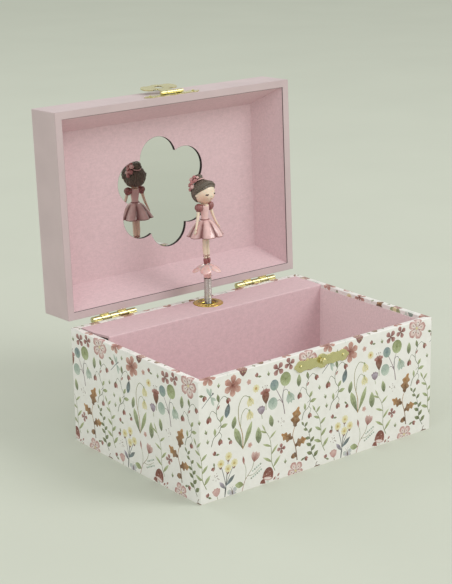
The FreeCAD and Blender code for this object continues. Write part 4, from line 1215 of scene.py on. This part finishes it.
def sleeves(dancer):
    parts = []
    for side in (-1, 1):
        puff = []
        for i in range(15):
            lat = math.pi * (i + 0.3) / 14.6
            ring = []
            for a in angles(48):
                gather = 1 + 0.055 * math.cos(12 * a) * math.sin(lat)
                ring.append(Vector((2.3 * math.sin(lat) * gather * math.cos(a),
                                    2.3 * math.sin(lat) * gather * math.sin(a), -2.25 * math.cos(lat))))
            puff.append(ring)
        lean = Matrix.Translation((side * 4.15, 0, 117.6)) @ Matrix.Rotation(math.radians(-12 * side), 4, "Y")
        parts.append(moved(loft(puff), lean))
        cuff = [lean @ Vector((1.12 * math.cos(a), 1.12 * math.sin(a), -2.05)) for a in angles(28)]
        parts.append(sweep(cuff, 0.24, 6, closed=True))
    dancer.add("dancer_sleeves", merged(parts), deep_satin(), "sleeve_satin", ["figure_sleeves"])


def arms(dancer, skin):
    parts = []
    for side in (-1, 1):
        path = smooth_path([(side * 4.6, 0, 117.0), (side * 5.4, -0.3, 113.6), (side * 6.6, -0.6, 110.2),
                            (side * 8.0, -1.0, 107.2), (side * 8.6, -1.2, 106.2)], 6)
        parts.append(sweep(path, lambda t: 0.86 - 0.30 * t + 0.05 * math.sin(2 * math.pi * t), 16))
        hand = ellipsoid((0, 0, 0), (0.38, 0.72, 1.15), 10, 16)
        lean = Matrix.Rotation(math.radians(-22 * side), 4, "Y")
        parts.append(moved(hand, Matrix.Translation((side * 9.1, -1.3, 105.2)) @ lean))
        thumb = [(side * 8.8, -1.7, 105.9), (side * 8.9, -2.2, 105.3), (side * 9.1, -2.3, 104.8)]
        parts.append(sweep(smooth_path(thumb, 4), lambda t: 0.28 - 0.12 * t, 8))
        for k in range(4):
            y = -1.78 + 0.34 * k
            finger = [(side * 9.2, y, 105.1), (side * 9.5, y + 0.02, 104.4), (side * 9.6, y, 103.8)]
            parts.append(sweep(smooth_path(finger, 3), lambda t: 0.21 - 0.07 * t, 6))
    dancer.add("dancer_arms", merged(parts), skin, "skin_paint", ["figure_arms"])


HEAD = Vector((0, 0, 125.6))
HEAD_R = 6.15


def on_head(azimuth, elevation, radius=HEAD_R):
    """Point of the head; azimuth 0 is straight ahead (-Y), positive towards +X."""
    a, e = math.radians(azimuth), math.radians(elevation)
    return HEAD + Vector((radius * math.sin(a) * math.cos(e), -radius * math.cos(a) * math.cos(e),
                          radius * math.sin(e)))


def head(dancer, skin):
    rings = []
    for i in range(41):
        lat = math.pi * (i + 0.12) / 40.24
        ring = []
        for a in angles(64):
            d = Vector((math.sin(lat) * math.cos(a), math.sin(lat) * math.sin(a), -math.cos(lat)))
            r = HEAD_R * (1 + 0.03 * d.z * d.z)
            front = max(-d.y, 0)
            r -= 0.16 * front ** 2 * math.exp(-((d.z - 0.10) * 5) ** 2)
            r += 0.20 * front ** 2 * math.exp(-((d.z + 0.42) * 4) ** 2) * math.exp(-(d.x * 1.6) ** 2)
            r += 0.42 * math.exp(-(d.x / 0.085) ** 2 - ((d.z + 0.20) / 0.085) ** 2) * (1 if d.y < 0 else 0)
            for side in (-1, 1):
                r += 0.14 * math.exp(-((d.x - 0.5 * side) * 3.4) ** 2 - ((d.z + 0.30) * 3.6) ** 2) * front
            ring.append(HEAD + d * r)
        rings.append(ring)
    parts = [loft(rings)]
    for side in (-1, 1):
        ear = ellipsoid((0, 0, 0), (0.5, 0.95, 1.25), 10, 16)
        parts.append(moved(ear, Matrix.Translation(on_head(86 * side, -6, HEAD_R + 0.02))))
    dancer.add("dancer_head", merged(parts), skin, "skin_paint", ["figure_head"])
    dark = painted("lash paint", (44, 34, 30), 0.45).material
    lashes = []
    ends_and_between = [-1 + 2 * k / 10 for k in range(11)]
    for side in (-1, 1):
        lid = [on_head(side * (27 + 8.5 * t), -3.5 - 3.0 * (1 - t * t), HEAD_R + 0.02)
               for t in ends_and_between]
        lashes.append(sweep([p + (p - HEAD).normalized() * -0.02 for p in lid],
                            lambda t: 0.15 + 0.3 * math.sin(math.pi * t), 6))
        for t in (-0.2, 0.35, 0.85):
            root = on_head(side * (27 + 8.5 * t), -3.5 - 3.0 * (1 - t * t), HEAD_R + 0.0)
            tip = on_head(side * (27 + 8.5 * t + 2.2), -8.4 - 1.2 * (1 - t * t), HEAD_R + 0.04)
            lashes.append(sweep([root, (root + tip) / 2, tip], lambda t: 0.14 - 0.06 * t, 5))
    dancer.add("dancer_eyes", merged(lashes), dark, "skin_paint")
    smile = [on_head(9.5 * t, -26.5 - 2.6 * (1 - t * t), HEAD_R + 0.10) for t in ends_and_between]
    lips = sweep(smile, lambda t: 0.06 + 0.15 * math.sin(math.pi * t), 6)
    dancer.add("dancer_lips", lips, painted("lip paint", (176, 92, 88), 0.35).material, "skin_paint")


BUN_UP = 62.0


def hairline(azimuth):
    """Lowest elevation that hair covers, for an azimuth from the front."""
    a = abs(azimuth)
    if a < 78:
        return 34 - 30 * (a / 78) ** 1.6
    if a < 100:
        return 4 - 56 * ((a - 78) / 22) ** 1.4
    return -52 - 6 * math.sin(math.radians(a - 100))


def hair(dancer):
    """Hair combed back to a bun, a braid over the front and a coiled braid as the bun."""
    pole = Vector((0, math.cos(math.radians(BUN_UP)), math.sin(math.radians(BUN_UP))))
    side_a = Vector((1, 0, 0))
    side_b = pole.cross(side_a)
    count = 144
    reach = []
    for k in range(count):
        phi = 2 * math.pi * k / count
        along = side_a * math.cos(phi) + side_b * math.sin(phi)
        for step in range(4, 640):
            b = math.radians(step * 0.25)
            d = pole * math.cos(b) + along * math.sin(b)
            az = math.degrees(math.atan2(d.x, -d.y))
            if math.degrees(math.asin(max(-1, min(1, d.z)))) < hairline(az):
                break
        reach.append(b)
    for _ in range(4):
        reach = [(reach[k - 1] + 2 * reach[k] + reach[(k + 1) % count]) / 4 for k in range(count)]
    rows = 30

    def ring(t, radius, groove):
        out = []
        for k in range(count):
            phi = 2 * math.pi * k / count
            b = reach[k] * t
            d = pole * math.cos(b) + (side_a * math.cos(phi) + side_b * math.sin(phi)) * math.sin(b)
            lock = math.sin(24 * phi + 1.2 * math.sin(3 * phi)) + 0.6 * math.sin(36 * phi + 2)
            out.append(HEAD + d * (radius + groove * lock * min(1, 3 * t)))
        return out

    rings = [ring(0.02, HEAD_R + 0.45, 0)]
    rings += [ring(k / rows, HEAD_R + 0.45 + 0.16 * math.sin(math.pi * (k / rows) ** 2), 0.13)
              for k in range(1, rows)]
    rings += [ring(1.0, HEAD_R + 0.34, 0.05), ring(1.012, HEAD_R + 0.2, 0.02), ring(1.0, HEAD_R - 0.35, 0)]
    rings += [ring(0.6, HEAD_R - 0.5, 0), ring(0.02, HEAD_R - 0.5, 0)]
    cap = loft(rings)

    def braid(route, outward, wide, thick, crossings):
        strands = []
        n = len(route)
        for k in range(3):
            path = []
            for i, p in enumerate(route):
                s = i / (n - 1) * crossings
                out = outward(p)
                ahead = (route[min(i + 1, n - 1)] - route[max(i - 1, 0)]).normalized()
                across = ahead.cross(out).normalized()
                a = 2 * math.pi * (s + k / 3)
                path.append(p + across * (wide * math.sin(a)) + out * (0.42 * thick * math.sin(2 * a)))
            strands.append(sweep(path, thick, 8))
        return merged(strands)

    band = []
    for k in range(90):
        t = -1 + 2 * k / 89
        az = 104 * t
        band.append(on_head(az, max(hairline(az) + 17, 10 - 6 * abs(t)) + 6 * (1 - t * t), HEAD_R + 0.62))
    band_braid = braid(band, lambda p: (p - HEAD).normalized(), 0.78, 0.6, 8)
    top = HEAD + pole * (HEAD_R + 2.5)
    coil = []
    turns = 2.3
    for k in range(150):
        t = k / 149
        a = 2 * math.pi * turns * t + 0.6
        r = 2.55 * (1 - 0.72 * t)
        rise = 1.35 * t ** 0.8 - 0.4
        coil.append(top + side_a * (r * math.cos(a)) + side_b * (r * math.sin(a)) + pole * rise)
    bun_braid = braid(coil, lambda p: ((p - top) * 0.5 + pole).normalized(), 0.52, 0.5, 15)
    core = ellipsoid((0, 0, 0), (2.7, 2.7, 2.1), 14, 24)
    turn = Vector((0, 0, 1)).rotation_difference(pole).to_matrix().to_4x4()
    core = moved(core, Matrix.Translation(HEAD + pole * (HEAD_R + 1.8)) @ turn)
    finish = painted("hair paint", (104, 94, 82), 0.42, 0.12, 0.62, 1.3, 1500, 0.03)
    dancer.add("dancer_hair", merged([cap, core, band_braid, bun_braid]), finish.material, "hair_paint",
               ["figure_hair"])


def rose(at, outward, size):
    """Small modelled rose: a ball with a spiral groove, in a rim of rounded petals."""
    rings = []
    for i in range(17):
        lat = math.pi * (i + 0.2) / 16.4
        ring = []
        for a in angles(36):
            r = size * (0.98 + 0.10 * math.sin(a + 5.5 * lat) + 0.05 * math.cos(5 * a) * math.sin(lat))
            ring.append(Vector((r * math.sin(lat) * math.cos(a), r * math.sin(lat) * math.sin(a),
                                0.78 * r * -math.cos(lat))))
        rings.append(ring)
    parts = [loft(rings)]
    for k in range(5):
        petal = ellipsoid((0, 0, 0), (0.52 * size, 0.58 * size, 0.2 * size), 8, 14)
        out = Matrix.Rotation(math.radians(72 * k + 20), 4, "Z")
        out = out @ Matrix.Translation((0.74 * size, 0, -0.12 * size))
        parts.append(moved(petal, out @ Matrix.Rotation(math.radians(52), 4, "Y")))
    spin = Vector((0, 0, 1)).rotation_difference(outward).to_matrix().to_4x4()
    return moved(merged(parts), Matrix.Translation(at) @ spin)


def head_flowers(dancer):
    """A bunch of roses on the left of the bun, and a ribbon in front of it."""
    blooms, pale = [], []
    places = (((-4.9, 3.6, 131.2), 1.35), ((-5.6, 3.0, 129.0), 1.2), ((-4.6, 5.4, 129.6), 1.3),
              ((-4.3, 1.9, 132.4), 1.2), ((-3.7, 5.3, 132.6), 1.25), ((-3.3, 3.4, 134.0), 1.15),
              ((-5.9, 4.4, 127.4), 1.0), ((-3.0, 1.2, 134.0), 0.8))
    for n, (at, size) in enumerate(places):
        at = Vector(at)
        (pale if n % 3 == 1 else blooms).append(rose(at, (at - HEAD).normalized(), size))
    dancer.add("dancer_roses", merged(blooms),
               painted("rose paint", (184, 122, 122), 0.24, 0.5, 0.8, 1.2, 900, 0.02).material, "bloom_paint",
               ["figure_hair_flowers"])
    pole = Vector((0, math.cos(math.radians(BUN_UP)), math.sin(math.radians(BUN_UP))))
    side_b = pole.cross(Vector((1, 0, 0)))
    loop = [HEAD + pole * (HEAD_R + 0.55) + Vector((2.9 * math.cos(a), 0, 0)) + side_b * (2.9 * math.sin(a))
            for a in angles(48)]
    pale.append(sweep(loop, 0.42, 8, closed=True))
    paint = painted("pale rose paint", (224, 182, 178), 0.24, 0.5, 0.88, 1.1, 900, 0.02)
    dancer.add("dancer_pale_roses", merged(pale), paint.material, "bloom_paint")


def skin_paint(dancer):
    """Cream doll paint with blush on the cheeks, and painted shade in warm brown under the chin and on the
    lower face.
    """
    f = painted("skin paint", (242, 222, 200), 0.34, 0.2, 0.97, 1.03, 500, 0.012)
    base = f.shader.inputs["Base Color"].links[0].from_socket
    mixed = base
    for side in (-1, 1):
        centre = dancer.place @ on_head(44 * side, -19)
        gap = f.node("ShaderNodeVectorMath", operation="DISTANCE")
        f.put(gap.inputs[0], f.place)
        gap.inputs[1].default_value = centre * MM
        mixed = f.mix(f.spread(gap.outputs["Value"], 0.0008, 0.0034, 0.3, 0.0), mixed, ink(222, 150, 130))
    # Painted shade: the lower part of the head runs towards warm brown, strongest under the chin and fading
    # out above the neck.
    split = f.node("ShaderNodeSeparateXYZ")
    f.put(split.inputs[0], f.place)
    low = (dancer.place @ on_head(0, -70)) * MM
    high = (dancer.place @ on_head(0, -14)) * MM
    chin = f.spread(split.outputs["Z"], low.z, high.z, 0.5, 0.0)
    above = f.spread(split.outputs["Z"], low.z - 0.0012, low.z - 0.0002, 0.0, 1.0)
    shade = f.node("ShaderNodeMath", operation="MULTIPLY")
    f.put(shade.inputs[0], chin)
    f.put(shade.inputs[1], above)
    mixed = f.mix(shade.outputs[0], mixed, ink(206, 150, 118))
    f.paint(mixed)
    f.shader.inputs["Subsurface Weight"].default_value = 0.12
    f.shader.inputs["Subsurface Radius"].default_value = (0.003, 0.0012, 0.0008)
    f.shader.inputs["Subsurface Scale"].default_value = 0.5
    return f.material


def make_dancer():
    dancer = Dancer()
    skin = skin_paint(dancer)
    satin = painted("pearl satin paint", (236, 196, 194), 0.22, 0.5, 0.92, 1.06, 500, 0.03)
    # The point colour mixes the satin towards dark rose: painted shade in the skirt's creases and inside.
    crease_shade = satin.node("ShaderNodeVertexColor", layer_name="crease")
    tone = satin.shader.inputs["Base Color"].links[0].from_socket
    satin.paint(satin.mix(crease_shade.outputs["Color"], tone, ink(128, 74, 72)))
    satin.shader.inputs["Sheen Weight"].default_value = 0.25
    satin = satin.material
    petal_cup(dancer)
    socket(dancer)
    legs_and_shoes(dancer, skin)
    skirt(dancer, satin)
    bodice(dancer, satin, skin)
    sleeves(dancer)
    arms(dancer, skin)
    head(dancer, skin)
    hair(dancer)
    head_flowers(dancer)


# ---- finishes of the CAD nodes ------------------------------------------------------------------------
# Nodes that get the paler copy of the lining paper, which is painted light.
PAINTED_LIGHT_TRAY_NODES = ("tray_floor_lining", "wall_linings")


def dress_nodes():
    lining, boards, bright = lining_paper(), board(), brass()
    plate = brass("movement brass", (196, 176, 124), 0.24, 0.42, 0.12)
    turned_steel = steel("turned steel", (176, 176, 174), 0.2, 0.36, (1, 8, 1))
    finishes = {
        "sole_paper": sole_paper(), "board": boards, "lid_paper": lid_paper(), "lining_paper": lining,
        "mirror": mirror(), "brass": bright, "spring_steel": spring_finish(),
        "movement_steel": turned_steel, "movement_plate": plate,
    }
    # A paler copy of the same lining paper: painted light that brightens the inside of the tray.
    tray = lining_paper("tray lining paper, painted light", (238, 218, 220))
    slots = {p["node"]: p["material_slot"] for p in frame["record"]["subparts"]}
    for name, node in NODES.items():
        if slots[name] in finishes:
            node.data.materials.clear()
            node.data.materials.append(tray if name in PAINTED_LIGHT_TRAY_NODES else finishes[slots[name]])


# ---- floor, light, camera -----------------------------------------------------------------------------
def make_stage():
    """Wide, plain, pale floor."""
    verts, faces = lathe([(0.5, -1.0), (30000, -1.0), (30000, 0.0), (0.5, 0.0)], 96)
    f = Finish("floor", ink(206, 210, 198), 0.75)
    f.shader.inputs["Specular IOR Level"].default_value = 0.0
    f.vary(f.spread(f.noise(8, 3), 0.3, 0.7), 0.985, 1.01)
    mesh = bpy.data.meshes.new("floor")
    mesh.from_pydata([v * MM for v in verts], [], faces)
    mesh.materials.append(f.material)
    floor = bpy.data.objects.new("floor", mesh)
    bpy.context.scene.collection.objects.link(floor)


def area_light(name, at, look, size, power, colour=(1, 1, 1)):
    data = bpy.data.lights.new(name, "AREA")
    data.shape = "DISK"
    data.size = size
    data.energy = power
    data.color = colour
    lamp = bpy.data.objects.new(name, data)
    lamp.location = at
    lamp.rotation_euler = (Vector(look) - Vector(at)).to_track_quat("-Z", "Y").to_euler()
    bpy.context.scene.collection.objects.link(lamp)


def make_light():
    world = bpy.data.worlds.new("studio")
    world.use_nodes = True
    shade = world.node_tree.nodes["Background"]
    shade.inputs["Color"].default_value = (*ink(230, 231, 226), 1)
    shade.inputs["Strength"].default_value = 0.92
    bpy.context.scene.world = world
    area_light("key", (0.9, -1.1, 1.3), (0, 0, 0.08), 1.0, 12, (1.0, 0.985, 0.97))
    area_light("fill", (-1.4, -0.6, 0.9), (0, 0, 0.08), 1.2, 3, (0.98, 0.99, 1.0))
    area_light("back", (-0.3, 1.3, 1.2), (0, 0, 0.1), 1.0, 3)
    bpy.context.scene.view_settings.view_transform = "Standard"


def make_camera():
    """A long lens from the front left, a little above the rim."""
    azimuth, elevation, roll = math.radians(-37.78), math.radians(16.68), math.radians(-0.98)
    focus, distance = Vector((0.003, 0.026, 0.0738)), 0.850
    data = bpy.data.cameras.new("camera")
    data.sensor_width = 36.0
    data.lens = 96.9
    data.clip_start, data.clip_end = 0.01, 100
    camera = bpy.data.objects.new("camera", data)
    back = Vector((math.sin(azimuth) * math.cos(elevation), -math.cos(azimuth) * math.cos(elevation),
                   math.sin(elevation)))
    right = (-back).cross(Vector((0, 0, 1))).normalized()
    up = right.cross(-back)
    right, up = right * math.cos(roll) + up * math.sin(roll), up * math.cos(roll) - right * math.sin(roll)
    turn = Matrix((right, up, back)).transposed().to_4x4()
    camera.matrix_world = Matrix.Translation(focus + back * distance) @ turn
    bpy.context.scene.collection.objects.link(camera)
    bpy.context.scene.camera = camera


dress_nodes()
printed_wrap()
spring_coils()
eyelet()
lid_edges()
make_dancer()
make_stage()
make_light()
make_camera()
